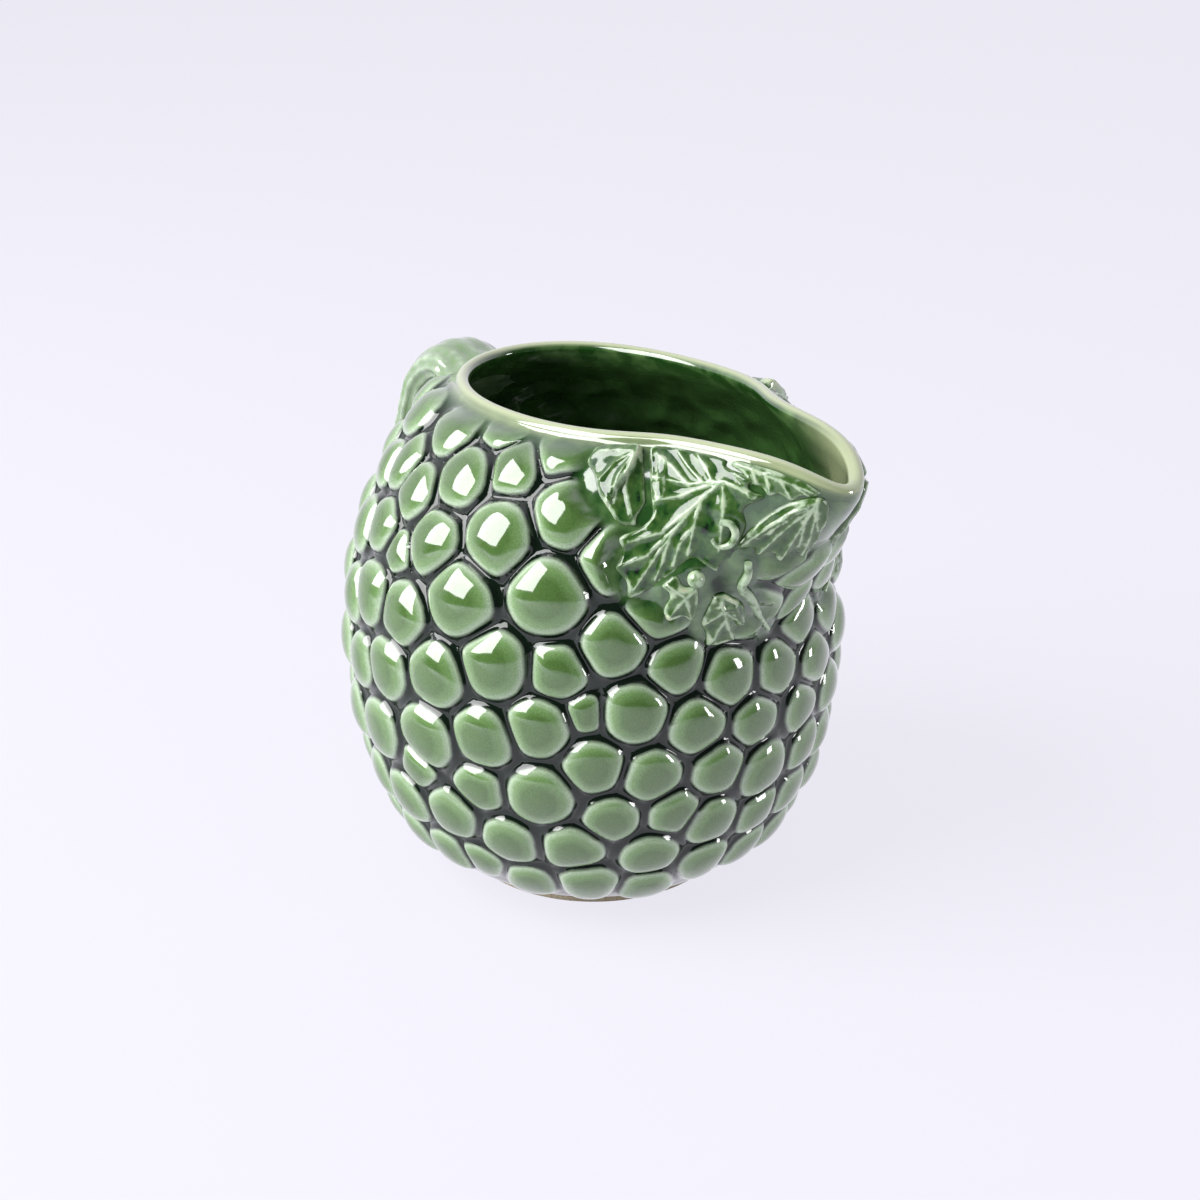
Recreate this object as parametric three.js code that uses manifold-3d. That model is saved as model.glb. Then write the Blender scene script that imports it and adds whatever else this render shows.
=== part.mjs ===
// A glazed earthenware jug shaped as a bunch of grapes, with vine leaves under its pouring lip.
// Millimetres, +Z up. The jug stands on Z = 0 with its axis on Z, its spout towards +X and its handle
// towards -X. A place on the wall is an angle in degrees, 0 at the spout and negative on the right-hand
// side, and a level, from 0 at the foot over 50 at the belly to 100 under the lip.
import * as THREE from "three";
import { ConvexHull } from "three/addons/math/ConvexHull.js";
import { mergeGeometries, mergeVertices } from "three/addons/utils/BufferGeometryUtils.js";
import Module from "manifold-3d";

const wasm = await Module();
wasm.setup();

// Wall, from the foot up to the lip
const rimHeight = 150;
const bellyHeight = 72;
const bellyRadius = 71.5;
const footRadius = 42;
const neckRadius = 40;
const wallThickness = 4.4;
const footBulge = 59; // radius towards which the wall sets out from the foot
const footRise = 10;
const uprightBelow = 34; // how far below the belly the wall stays near upright
const uprightAbove = 30;
const shoulderRadius = 63; // radius through which the shoulder turns in to the neck
const shoulderHeight = 133;

// Mouth and spout
const mouthHalfLength = 42;
const mouthHalfWidth = 34;
const spoutFlare = 15; // how far the wide funnel of the mouth reaches out
const flareAngle = 52;
const spoutBeak = 38; // how far the narrow beak reaches past the funnel
const beakAngle = 14;
const frontRise = 2.7; // the rim climbs a little towards the spout
const riseAngle = 60;
const tipDrop = 7.6; // the tip of the spout curls down
const tipAngle = 6.5;
const springHeight = 95; // where the wall starts to lean into the shape of the mouth
const leanPower = 1.45;
const bellyLevel = 50;
const lipLevel = 100;
const throatLevel = 96; // where the inside of the wall runs out of the lip
const gather = 0.5; // how far the wall's upright lines are drawn together at the spout

// Floor and foot
const floorLevel = 12; // where the inside of the wall turns in to the floor
const floorRadius = 30; // the flat of the floor
const floorHollow = 1.2; // how far the floor rises towards the wall
const footHeight = 3;
const floorTop = footHeight + wallThickness;
const footRingWidth = 7;
const footRingInset = 0.8;
const footEdge = 0.9;

// Relief
const bulge = 0.46; // a grape's height, as a share of its radius
const grooveSpread = 1.07; // widens the grooves a little past the lines half way between grapes
const cornerPower = 6; // how sharp the corners of a grape's outline are
const lonelySpread = 1.25; // how far a grape with no neighbour spreads, in radii
const footFade = [4, 11]; // levels over which the grapes rise from the smooth foot
const lipFade = [94, 100]; // levels over which they run out under the lip
const seatFade = 5;
const seatHeight = 1.6; // the small leaves and the stems lie on a flat of this height
const stemSeat = 3; // half the width of the flat under a stem

// Leaves, tendrils and handle
const leafThickness = 2.6;
const leafEdge = 1.3;
const smallLeafThickness = 2;
const smallLeafEdge = 1;
const spoutLeafThickness = 1.4;
const spoutLeafEdge = 0.7;
// A leaf's rings, as shares of the way from its middle to its outline
const leafRings = { inner: 0.4, outer: 0.8, edge: 0.97 };
const tendrilRadius = 1.3;
const stemRadius = 1.9;
const budRadius = 2.4;
const branchThickness = 11; // handle, towards the jug
const branchWidth = 20; // handle, from side to side
const rootSpread = 1.4; // how much thicker the handle is where it joins the wall
const barkDepth = 0.07;
const barkRidges = 5;
const barkTwist = 4;
const clearance = 0.4; // between the wall and any piece that is luted on
const leafLift = 0.75; // leaves and stems lie this far off the smooth wall

// Handle's centre line: distance behind the belly's wall, and height
const handleRun = [
  [-27.5, 136],
  [-11.5, 142],
  [-0.5, 134.5],
  [6.5, 119],
  [13.5, 100],
  [19.5, 84],
  [21.8, 68],
  [18.5, 53],
  [7.5, 42.5],
  [-15.5, 37],
];

// Grapes by course, from the foot up: angle, level and radius. Those past the front are repeated on the
// left side.
const grapes = [
  [31, 20.5, 8],
  [17, 20, 8],
  [2, 21, 7.5],
  [-14, 22.5, 8.5],
  [-29, 17.5, 8],
  [-45, 20, 9],
  [-62, 18.5, 7.5],
  [-75, 22, 7],
  [-87, 21.5, 8],
  [-102, 21, 8],
  [-118, 21, 8.5],
  [-135, 20.5, 8.5],
  [-152, 21, 8.5],
  [-170, 20.5, 8.5],

  [30, 30, 9],
  [14, 31, 8],
  [0, 31, 8],
  [-15, 33, 9],
  [-30, 27.5, 9],
  [-49, 30, 9],
  [-65, 30, 9],
  [-80, 33, 9.5],
  [-96, 31.5, 9.5],
  [-111, 31, 8.5],
  [-127, 31, 9],
  [-144, 31, 9],
  [-161, 30.5, 9],

  [28, 37.5, 8],
  [15, 39.5, 8],
  [-2, 40, 9.5],
  [-25, 36.5, 8],
  [-40, 36.5, 8],
  [-56, 40.5, 10],
  [-71, 40, 7.5],
  [-89, 39.5, 7],
  [-102, 43, 10],
  [-119, 41, 9.5],
  [-135, 41, 9.5],
  [-151, 41, 9.5],

  [28, 46, 8.5],
  [11, 47.5, 7.5],
  [-6, 49, 8],
  [-15, 43, 9],
  [-31, 44, 8.5],
  [-44, 46, 8.5],
  [-69, 49, 10],
  [-84, 46.5, 10.5],
  [-111, 52, 9],
  [-127, 51, 10],
  [-143, 51.5, 10],
  [-159, 51, 10],

  [35, 54.5, 9.5],
  [17, 54, 8.5],
  [1, 56.5, 8],
  [-21, 51, 9],
  [-35, 54.5, 9.5],
  [-46, 54.5, 5],
  [-56, 52, 9.5],
  [-81, 57, 11],
  [-97, 54.5, 10],
  [-119, 61, 10],
  [-135, 62, 10],
  [-151, 61.5, 10],

  [25, 60.5, 8.5],
  [10, 63, 8.5],
  [-13, 57.5, 8.5],
  [-26, 61, 8],
  [-40, 65.5, 9.5],
  [-52, 61, 8.5],
  [-66, 61, 11],
  [-93, 64.5, 10.5],
  [-107, 64.5, 10.5],
  [-127, 71.5, 10],
  [-143, 72, 10],
  [-160, 71, 10],

  [30, 70.5, 9],
  [19, 69.5, 8.5],
  [27, 79.5, 9],
  [15, 77, 9],
  [-8, 69, 10.5],
  [5, 68.5, 7.5],
  [-1, 76, 9],
  [27, 87.5, 8.5],
  [-32, 71, 8.5],
  [-46, 79.5, 9.5],
  [-58, 73, 12],
  [-78, 70, 12],
  [-103, 73, 7],
  [-115, 75, 9.5],
  [-136, 82, 9.5],
  [-154, 81, 10],

  [-62, 86, 10],
  [-76, 80.5, 11.5],
  [-93, 77, 10.5],
  [-99, 88, 10.5],
  [-111, 82.5, 10],
  [-125, 84.5, 9.5],
  [-145, 91, 9],
  [-163, 90, 9],

  [-77, 97, 8],
  [-86, 92, 8.5],
  [-104, 98, 7.5],
  [-120, 94, 9.5],
];
const backGrapes = [
  [180, 31, 8.5],
  [168, 41, 9],
  [-168, 41, 9],
  [176, 51, 8],
  [-168, 61, 9],
  [168, 61, 9],
  [180, 70, 9],
  [-170, 80, 8],
  [170, 80, 8],
];
const frontAngle = 38; // nearer the front than this, each side has its own grapes
const leftTurn = 18; // the left side's leaves lie this much further round from the spout

// Places where the wall stays smooth: angle, level, radius and height of each seat
const leafSeats = [
  [-36, 79, 11, 0],
  [-30, 88, 17, 0],
  [-40, 92, 14, 0],
  [-55, 93, 13, 0],
  [-27, 73.5, 7, seatHeight],
  [-17, 69, 8, seatHeight],
];
const spoutSeats = [
  [-25, 96, 12, 0],
  [-13, 96, 15, 0],
  [-12, 86, 8, 0],
  [0, 93, 15, 0],
  [12, 86, 8, 0],
  [13, 96, 15, 0],
  [25, 96, 12, 0],
];
const handleSeats = [
  [180, 96, 15, 0],
  [180, 37, 12, 0],
];

// Leaf outlines, clockwise as seen from outside: angle and level. The first place is the leaf's middle.
const largeLeaf = [
  [-32, 87],
  [-47, 99], [-30, 99], [-26, 98.5], [-26.4, 97], [-20, 96], [-22.3, 94], [-18, 93], [-22, 90], [-20, 87],
  [-20, 84], [-19, 81], [-22, 80], [-22, 78], [-26, 79.7], [-28, 80.5], [-30, 78.5], [-32, 77], [-35, 75],
  [-39, 73.5], [-40, 76.5], [-44, 78.5], [-43, 81], [-46, 83.5], [-41, 85], [-39, 87], [-41, 90],
  [-44, 94.5],
];
const foldedLeaf = [
  [-53, 92.5],
  [-66, 99], [-50, 99], [-48.5, 97], [-46, 94], [-44, 91], [-43, 89.5], [-44, 87], [-43, 85.5],
  [-48, 85.5], [-52, 87.8], [-57, 90.5], [-61, 93.5], [-66, 95.5],
];
const spoutLeaf = [
  [-18, 98],
  [-24, 100], [-18, 100], [-12, 100], [-9, 99], [-11, 96.5], [-14, 95.5], [-17, 96.2], [-20, 96.8],
  [-25, 98.6],
];
const throatLeaf = [
  [-10.5, 88],
  [-10.6, 94.8], [-8.2, 96.6], [-6.8, 94.5], [-6, 90], [-5, 86], [-5.2, 82.5], [-8, 84], [-10, 81.2],
  [-12, 83.8], [-15, 82.5], [-18, 83], [-17, 86], [-15.5, 88.5], [-14, 91], [-12.6, 93.2],
];
const upperSmallLeaf = [
  [-27, 73],
  [-23.5, 72], [-24, 69], [-26.5, 70.5], [-29.5, 69.5], [-31, 71.5], [-30, 74], [-33, 75.5],
  [-30, 77.6], [-28, 75.4], [-25, 75.6],
];
const lowerSmallLeaf = [
  [-17, 68.5],
  [-20.5, 73.5], [-18, 73.8], [-13, 71.5], [-10.5, 68], [-12.5, 66.5], [-12, 64], [-15, 64.5],
  [-19, 64], [-19.5, 66.5], [-21.5, 68.5], [-21, 71],
];

// The bud's place, and the places that the tendril on the large leaf and the vine stem run through
const budPlace = [-26, 77.5];
const curlRun = [[-24.5, 87.6], [-22.3, 87.4], [-20.9, 85.6], [-21.5, 83.6], [-23.6, 83.2], [-25, 84.3]];
const stemRun = [[-16.5, 80.5], [-15.5, 78], [-15.5, 75.5], [-12, 72.8], [-8, 69], [-3, 64.5]];

const degree = Math.PI / 180;

// How finely the surfaces are drawn
const columns = 72;
const crownRing = [0.5, 6]; // share of the way to a grape's edge, and number of places round it
const flankRing = [0.86, 9];
const grooveRing = [grooveSpread, 10];
const grooveSpacing = 1.5;
const fillSpacing = 4.6;
const fillRows = 34;
const lowestPlace = 2.5;
const highestPlace = 97.5;
const globeSpan = 132; // degrees of latitude from the foot to the lip
const lipRows = 4;
const innerRows = 9;
const footSides = 44;
const branchSteps = 24;
const branchSides = 12;
const stemSteps = 11;
const stemSides = 6;
const budDetail = 1;
const halvings = 12; // steps that close in on the place of a ring
const sameCorner = 1e-4;

// A point on a cubic curve through four control points, each a list of numbers.
function onCurve([a, b, c, d], share) {
  const rest = 1 - share;
  return a.map((start, i) => rest ** 3 * start + 3 * rest ** 2 * share * b[i]
    + 3 * rest * share ** 2 * c[i] + share ** 3 * d[i]);
}

// Radius and height of the wall's side view at a level: the belly is half way up the wall.
const lipRadius = wallThickness / 2;
const lipHeight = rimHeight - lipRadius;
const lowerWall = [
  [footRadius, footHeight],
  [footBulge, footRise],
  [bellyRadius, bellyHeight - uprightBelow],
  [bellyRadius, bellyHeight],
];
const upperWall = [
  [bellyRadius, bellyHeight],
  [bellyRadius, bellyHeight + uprightAbove],
  [shoulderRadius, shoulderHeight],
  [neckRadius, lipHeight],
];
function sideView(level) {
  const share = level / bellyLevel;
  return share < 1 ? onCurve(lowerWall, share) : onCurve(upperWall, share - 1);
}

// The middle of the lip at an angle round the mouth: an oval with a wide funnel and a narrow beak in front.
const hump = (angle, width) => Math.exp(-((angle / width) ** 2));
function lipMiddle(angle) {
  const [cos, sin] = [Math.cos(angle * degree), Math.sin(angle * degree)];
  const oval = 1 / Math.hypot(cos / mouthHalfLength, sin / mouthHalfWidth);
  const radius = oval + spoutFlare * hump(angle, flareAngle) + spoutBeak * hump(angle, beakAngle);
  const height = lipHeight + frontRise * hump(angle, riseAngle) - tipDrop * hump(angle, tipAngle);
  return new THREE.Vector3(radius * cos, radius * sin, height);
}

// The lip's outward direction, level.
function lipOutward(angle) {
  const along = lipMiddle(angle + 0.1).sub(lipMiddle(angle - 0.1));
  return new THREE.Vector3(along.y, -along.x, 0).normalize();
}

// The angle round the mouth that the wall's upright line at an angle runs up to.
const mouthAngle = (angle) => angle - (gather / degree) * Math.sin(angle * degree);

// A point of the smooth wall at the bottom of the grooves.
function wallPoint(angle, level) {
  const [radius, height] = sideView(level);
  const top = lipMiddle(mouthAngle(angle)).addScaledVector(lipOutward(mouthAngle(angle)), lipRadius);
  const rise = THREE.MathUtils.clamp((height - springHeight) / (lipHeight - springHeight), 0, 1);
  const lean = rise ** leanPower;
  const straight = radius - lean * neckRadius;
  return new THREE.Vector3(
    straight * Math.cos(angle * degree) + lean * top.x,
    straight * Math.sin(angle * degree) + lean * top.y,
    height + lean ** 2 * (top.z - lipHeight),
  );
}

// The wall's outward direction.
function wallOutward(angle, level) {
  const low = Math.max(level - 0.2, 0);
  const high = Math.min(level + 0.2, lipLevel);
  const round = wallPoint(angle + 0.2, level).sub(wallPoint(angle - 0.2, level));
  const upward = wallPoint(angle, high).sub(wallPoint(angle, low));
  return round.cross(upward).normalize();
}
const offWall = (angle, level, distance) => wallPoint(angle, level)
  .addScaledVector(wallOutward(angle, level), distance);

// Every grape: its place and middle on the wall, its radius and how far it stands out.
const otherSide = grapes.filter(([angle]) => angle < -frontAngle)
  .map(([angle, level, radius]) => [-angle, level, radius]);
const bunch = [...grapes, ...otherSide, ...backGrapes].map(([angle, level, radius]) => ({
  place: [angle, level],
  middle: wallPoint(angle, level),
  radius,
  height: bulge * radius,
}));
const stemSeats = [budPlace, ...stemRun].map(([angle, level]) => [angle, level, stemSeat, seatHeight]);
const rightSeats = [...leafSeats, ...stemSeats];
const leftSeats = rightSeats.map(([angle, ...rest]) => [leftTurn - angle, ...rest]);
const smoothSeats = [...rightSeats, ...leftSeats, ...spoutSeats, ...handleSeats]
  .map(([angle, level, radius, height]) => ({ middle: wallPoint(angle, level), radius, height }));

// How near a point is to the edge of a grape, from 0 at its middle to 1. A grape's outline is a rounded
// polygon, whose sides lie half way to its neighbours.
const nearness = ({ middle, radius }, point) => point.distanceToSquared(middle) - radius ** 2;
function reach(grape, point) {
  const own = nearness(grape, point);
  let sum = (point.distanceTo(grape.middle) / (grape.radius * lonelySpread)) ** cornerPower;
  for (const other of bunch) {
    if (other === grape) continue;
    const span = grape.middle.distanceToSquared(other.middle) - other.radius ** 2 + grape.radius ** 2;
    const share = 1 - (nearness(other, point) - own) / span;
    if (share > 0) sum += share ** cornerPower;
  }
  return grooveSpread * sum ** (1 / cornerPower);
}

// How far a point of the wall stands out in relief: a dome over each grape, and a flat at each seat.
function relief(point) {
  const nearer = (best, grape) => (nearness(grape, point) < nearness(best, point) ? grape : best);
  const nearest = bunch.reduce(nearer);
  let height = nearest.height * Math.sqrt(Math.max(1 - reach(nearest, point) ** 2, 0));
  for (const seat of smoothSeats) {
    const distance = point.distanceTo(seat.middle);
    const away = THREE.MathUtils.smoothstep(distance, seat.radius, seat.radius + seatFade);
    height = THREE.MathUtils.lerp(seat.height, height, away);
  }
  return height;
}

// Evenly spread values from one to another.
function stretch(count, from, to) {
  return Array.from({ length: count + 1 }, (_, i) => from + ((to - from) * i) / count);
}

// Places all round a grape at one share of the way to its edge.
function ringOfPlaces(grape, share, count) {
  const [angle, level] = grape.place;
  const oneDegree = wallPoint(angle + 0.5, level).distanceTo(wallPoint(angle - 0.5, level));
  const oneLevel = wallPoint(angle, level + 0.5).distanceTo(wallPoint(angle, level - 0.5));
  return stretch(count, 0, 360).slice(1).map((turn) => {
    const at = (distance) => [
      angle + (distance * Math.cos(turn * degree)) / oneDegree,
      level + (distance * Math.sin(turn * degree)) / oneLevel,
    ];
    let [near, far] = [0, grape.radius * lonelySpread];
    for (let halving = 0; halving < halvings; halving += 1) {
      const half = (near + far) / 2;
      if (reach(grape, wallPoint(...at(half))) < share) near = half;
      else far = half;
    }
    return at(near);
  });
}

// The places at which the wall is drawn: rings round every grape and in the grooves, and an even spread in
// between. A place too near to an earlier one is left out.
function drawnPlaces() {
  const kept = [];
  const points = [];
  const keep = (places, apart) => {
    for (const [angle, level] of places) {
      const point = wallPoint(angle, level);
      const crowded = points.some((other) => other.distanceTo(point) < apart);
      if (crowded || level < lowestPlace || level > highestPlace) continue;
      kept.push([angle, level]);
      points.push(point);
    }
  };
  keep(bunch.map((grape) => grape.place), 0);
  keep(bunch.flatMap((grape) => ringOfPlaces(grape, ...crownRing)), grooveSpacing);
  keep(bunch.flatMap((grape) => ringOfPlaces(grape, ...flankRing)), grooveSpacing);
  keep(bunch.flatMap((grape) => ringOfPlaces(grape, ...grooveRing)), grooveSpacing);
  const rows = stretch(fillRows, lowestPlace, highestPlace);
  keep(rows.flatMap((level) => angles.map((angle) => [angle, level])), fillSpacing);
  return kept;
}

// Joins rings of points into one surface. A ring of one point is a pole. Each ring runs anticlockwise, seen
// from where the next ring lies.
function ringedSurface(rings) {
  const faces = [];
  let start = 0;
  for (let i = 0; i + 1 < rings.length; i += 1) {
    const low = rings[i].length;
    const high = rings[i + 1].length;
    const next = start + low;
    for (let k = 0; k < Math.max(low, high); k += 1) {
      const [a, b] = [start + (k % low), start + ((k + 1) % low)];
      const [c, d] = [next + (k % high), next + ((k + 1) % high)];
      if (low > 1) faces.push(a, b, d);
      if (high > 1) faces.push(a, d, c);
    }
    start = next;
  }
  return new THREE.BufferGeometry().setFromPoints(rings.flat()).setIndex(faces);
}

// One surface of several that meet at the same points.
function sewn(surfaces) {
  return mergeVertices(mergeGeometries(surfaces), sameCorner);
}

const angles = Array.from({ length: columns }, (_, i) => (360 * i) / columns - 180);
const footPlaces = angles.map((angle) => [angle, 0]);
const lipPlaces = angles.map((angle) => [angle, lipLevel]);
const wallPlaces = [...footPlaces, ...lipPlaces, ...drawnPlaces()];

// The faces between the wall's places. The places are laid on a globe, where a hull joins each to its
// neighbours, and the hull's two caps, over the foot and over the mouth, are left out.
function wallFaces() {
  const globe = wallPlaces.map(([angle, level]) => {
    const [east, north] = [angle * degree, (level / lipLevel - 0.5) * globeSpan * degree];
    const nearAxis = Math.cos(north);
    return new THREE.Vector3(nearAxis * Math.cos(east), nearAxis * Math.sin(east), Math.sin(north));
  });
  const number = new Map(globe.map((point, i) => [point, i]));
  const faces = new ConvexHull().setFromPoints(globe).faces.map(({ edge }) => [edge, edge.next, edge.prev]
    .map((side) => number.get(side.head().point)));
  const onFoot = (i) => i < columns;
  const onLip = (i) => i >= columns && i < 2 * columns;
  const isCap = (face) => face.every(onFoot) || face.every(onLip);
  return faces.filter((face) => !isCap(face)).flat();
}
const facesOfWall = wallFaces();

// The outside of the wall in relief, from the foot to the lip, and as much further out as it is grown. The
// relief runs out towards both ends.
function outerSkin(grown) {
  const points = wallPlaces.map(([angle, level]) => {
    const fromFoot = THREE.MathUtils.smoothstep(level, ...footFade);
    const fromLip = 1 - THREE.MathUtils.smoothstep(level, ...lipFade);
    return offWall(angle, level, relief(wallPoint(angle, level)) * fromFoot * fromLip + grown);
  });
  return new THREE.BufferGeometry().setFromPoints(points).setIndex(facesOfWall);
}
const ringAt = (level, distance) => angles.map((angle) => offWall(angle, level, distance));

// The rolled lip, from the outside over the top.
function lipRings() {
  return stretch(lipRows, 0, 180).slice(1).map((turn) => angles.map((angle) => {
    const round = mouthAngle(angle);
    return lipMiddle(round)
      .addScaledVector(lipOutward(round), lipRadius * Math.cos(turn * degree))
      .add(new THREE.Vector3(0, 0, lipRadius * Math.sin(turn * degree)));
  }));
}

// The cast wall with its grapes, the spout and the floor, all one thickness.
function jugBody() {
  const inner = stretch(innerRows, throatLevel, floorLevel).map((level) => ringAt(level, -wallThickness));
  const floorRing = (radius, height) => angles
    .map((angle) => new THREE.Vector3().setFromCylindricalCoords(radius, angle * degree, height))
    .map((point) => new THREE.Vector3(point.z, point.x, point.y));
  const underside = ringedSurface([[new THREE.Vector3(0, 0, footHeight)], ringAt(0, 0)]);
  const inside = ringedSurface([
    ringAt(lipLevel, 0),
    ...lipRings(),
    ...inner,
    floorRing(footRadius, floorTop + floorHollow),
    floorRing(floorRadius, floorTop),
    [new THREE.Vector3(0, 0, floorTop)],
  ]);
  return sewn([underside, outerSkin(0), inside]);
}

// The jug's outside, grown by the clearance and closed across the mouth. It cuts what is luted on.
function outsideBlock() {
  return solidOf(sewn([
    ringedSurface([[new THREE.Vector3(0, 0, footHeight - clearance)], ringAt(0, clearance)]),
    outerSkin(clearance),
    ringedSurface([ringAt(lipLevel, clearance), [new THREE.Vector3(0, 0, lipHeight)]]),
  ]));
}

// Solids for joining and cutting
const solidOf = (geometry) => new wasm.Manifold(new wasm.Mesh({
  numProp: 3,
  vertProperties: geometry.getAttribute("position").array,
  triVerts: new Uint32Array(geometry.index.array),
}));
function geometryOf(solid) {
  const mesh = solid.getMesh();
  return new THREE.BufferGeometry()
    .setAttribute("position", new THREE.BufferAttribute(new Float32Array(mesh.vertProperties), 3))
    .setIndex(new THREE.BufferAttribute(new Uint32Array(mesh.triVerts), 1));
}

// The unglazed ring that the jug stands on.
function footRing() {
  const outer = footRadius - footRingInset;
  const inner = outer - footRingWidth;
  const top = footHeight - clearance;
  const section = [
    [inner + footEdge, 0],
    [outer - footEdge, 0],
    [outer, footEdge],
    [outer, top],
    [inner, top],
    [inner, footEdge],
    [inner + footEdge, 0],
  ];
  const points = section.map(([radius, height]) => new THREE.Vector2(radius, height));
  return new THREE.LatheGeometry(points, footSides).rotateX(Math.PI / 2);
}

// A solid of round or oval rings along a curve, with flat ends.
function branch(curve, steps, sides, widthAt, outwardAt) {
  const rings = stretch(steps, 0, 1).map((share) => {
    const along = curve.getTangentAt(share);
    const outward = outwardAt(share).projectOnPlane(along).normalize();
    const side = new THREE.Vector3().crossVectors(along, outward);
    return stretch(sides, 0, 360).slice(1).map((turn) => {
      const [thick, wide] = widthAt(share, turn);
      return curve.getPointAt(share)
        .addScaledVector(outward, thick * Math.cos(turn * degree))
        .addScaledVector(side, wide * Math.sin(turn * degree));
    });
  });
  return ringedSurface([[curve.getPointAt(0)], ...rings, [curve.getPointAt(1)]]);
}

// A piece that is luted on has what it shares with the grown outside of the jug cut away.
const jugOutside = outsideBlock();
const luted = (geometry) => geometryOf(solidOf(geometry).subtract(jugOutside));

// The handle, a bent vine branch with ridged bark, cut to the wall at both ends.
function handle() {
  const places = handleRun.map(([behind, height]) => new THREE.Vector3(-bellyRadius - behind, 0, height));
  const line = new THREE.CatmullRomCurve3(places);
  const widthAt = (share, turn) => {
    const root = 1 + (rootSpread - 1) * (2 * Math.abs(share - 0.5)) ** 3;
    const bark = root * (1 + barkDepth * Math.cos(barkRidges * turn * degree + barkTwist * share));
    return [branchThickness * 0.5 * bark, branchWidth * 0.5 * bark];
  };
  const outwardAt = (share) => new THREE.Vector3(0, 1, 0).cross(line.getTangentAt(share));
  return luted(branch(line, branchSteps, branchSides, widthAt, outwardAt));
}

// A place on the right side, or the one that answers to it on the left.
const onSide = ([angle, level], side, turn) => (side > 0 ? [angle, level] : [turn - angle, level]);

// A leaf lying on the wall, thin at its edge. Its underside and top are rings of its outline, drawn in
// towards its middle.
function leaf(outline, side, { thickness, edge, seat, turn }) {
  const [middle, ...rim] = outline.map((place) => onSide(place, side, turn));
  if (side > 0) rim.reverse();
  const bottom = seat + leafLift;
  const drawnIn = (share, distance) => rim.map(([angle, level]) => offWall(
    THREE.MathUtils.lerp(middle[0], angle, share),
    THREE.MathUtils.lerp(middle[1], level, share),
    distance,
  ));
  return luted(ringedSurface([
    [offWall(...middle, bottom)],
    drawnIn(leafRings.inner, bottom),
    drawnIn(leafRings.outer, bottom),
    drawnIn(1, bottom),
    drawnIn(leafRings.edge, bottom + edge),
    drawnIn(leafRings.outer, bottom + thickness),
    drawnIn(leafRings.inner, bottom + thickness),
    [offWall(...middle, bottom + thickness)],
  ]));
}

const broad = { thickness: leafThickness, edge: leafEdge, seat: 0, turn: leftTurn };
const throat = { ...broad, turn: 0 };
const atSpout = { thickness: spoutLeafThickness, edge: spoutLeafEdge, seat: 0, turn: 0 };
const small = { thickness: smallLeafThickness, edge: smallLeafEdge, seat: seatHeight, turn: leftTurn };

// A thin stem lying on the wall through a run of places.
function stem(run, side, radius, seat) {
  const points = run.map((place) => offWall(...onSide(place, side, leftTurn), seat + leafLift + radius));
  const curve = new THREE.CatmullRomCurve3(points);
  const outwardAt = (share) => {
    const point = curve.getPointAt(share);
    return new THREE.Vector3(point.x, point.y, 0);
  };
  return luted(branch(curve, stemSteps, stemSides, () => [radius, radius], outwardAt));
}

// Shared corners joined, so that a solid can be made of the surface.
function welded(geometry) {
  geometry.deleteAttribute("normal");
  geometry.deleteAttribute("uv");
  return mergeVertices(geometry, sameCorner);
}

// A small round bud.
function bud(side) {
  const middle = offWall(...onSide(budPlace, side, leftTurn), seatHeight + leafLift + budRadius);
  const ball = new THREE.IcosahedronGeometry(budRadius, budDetail);
  return luted(welded(ball.translate(...middle)));
}

const glaze = (color, roughness) => new THREE.MeshStandardMaterial({ color, roughness, metalness: 0 });
const grapeGlaze = glaze("#5f8a5c", 0.12);
const leafGlaze = glaze("#8fae86", 0.14);
const stemGlaze = glaze("#7f9f74", 0.16);
const handleGlaze = glaze("#56794c", 0.18);
const bareClay = glaze("#cdbfa6", 0.8);

const jug = new THREE.Group();
jug.name = "grape_jug";
function add(name, geometry, material) {
  const mesh = new THREE.Mesh(geometry, material.clone());
  mesh.name = name;
  jug.add(mesh);
}

add("jug_body", jugBody(), grapeGlaze);
add("foot_ring", footRing(), bareClay);
add("handle", handle(), handleGlaze);
for (const [hand, side] of [["right", 1], ["left", -1]]) {
  add(`large_vine_leaf_${hand}`, leaf(largeLeaf, side, broad), leafGlaze);
  add(`folded_leaf_${hand}`, leaf(foldedLeaf, side, broad), leafGlaze);
  add(`spout_leaf_${hand}`, leaf(spoutLeaf, side, atSpout), leafGlaze);
  add(`throat_leaf_${hand}`, leaf(throatLeaf, side, throat), leafGlaze);
  add(`small_leaf_upper_${hand}`, leaf(upperSmallLeaf, side, small), leafGlaze);
  add(`small_leaf_lower_${hand}`, leaf(lowerSmallLeaf, side, small), leafGlaze);
  add(`berry_bud_${hand}`, bud(side), leafGlaze);
  add(`tendril_${hand}`, stem(curlRun, side, tendrilRadius, leafThickness + clearance), stemGlaze);
  add(`vine_stem_${hand}`, stem(stemRun, side, stemRadius, seatHeight), stemGlaze);
}

export default jug;
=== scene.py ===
import math

import bmesh
import bpy
import numpy as np
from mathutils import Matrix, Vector
from mathutils.geometry import delaunay_2d_cdt
from mathutils.kdtree import KDTree


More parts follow.
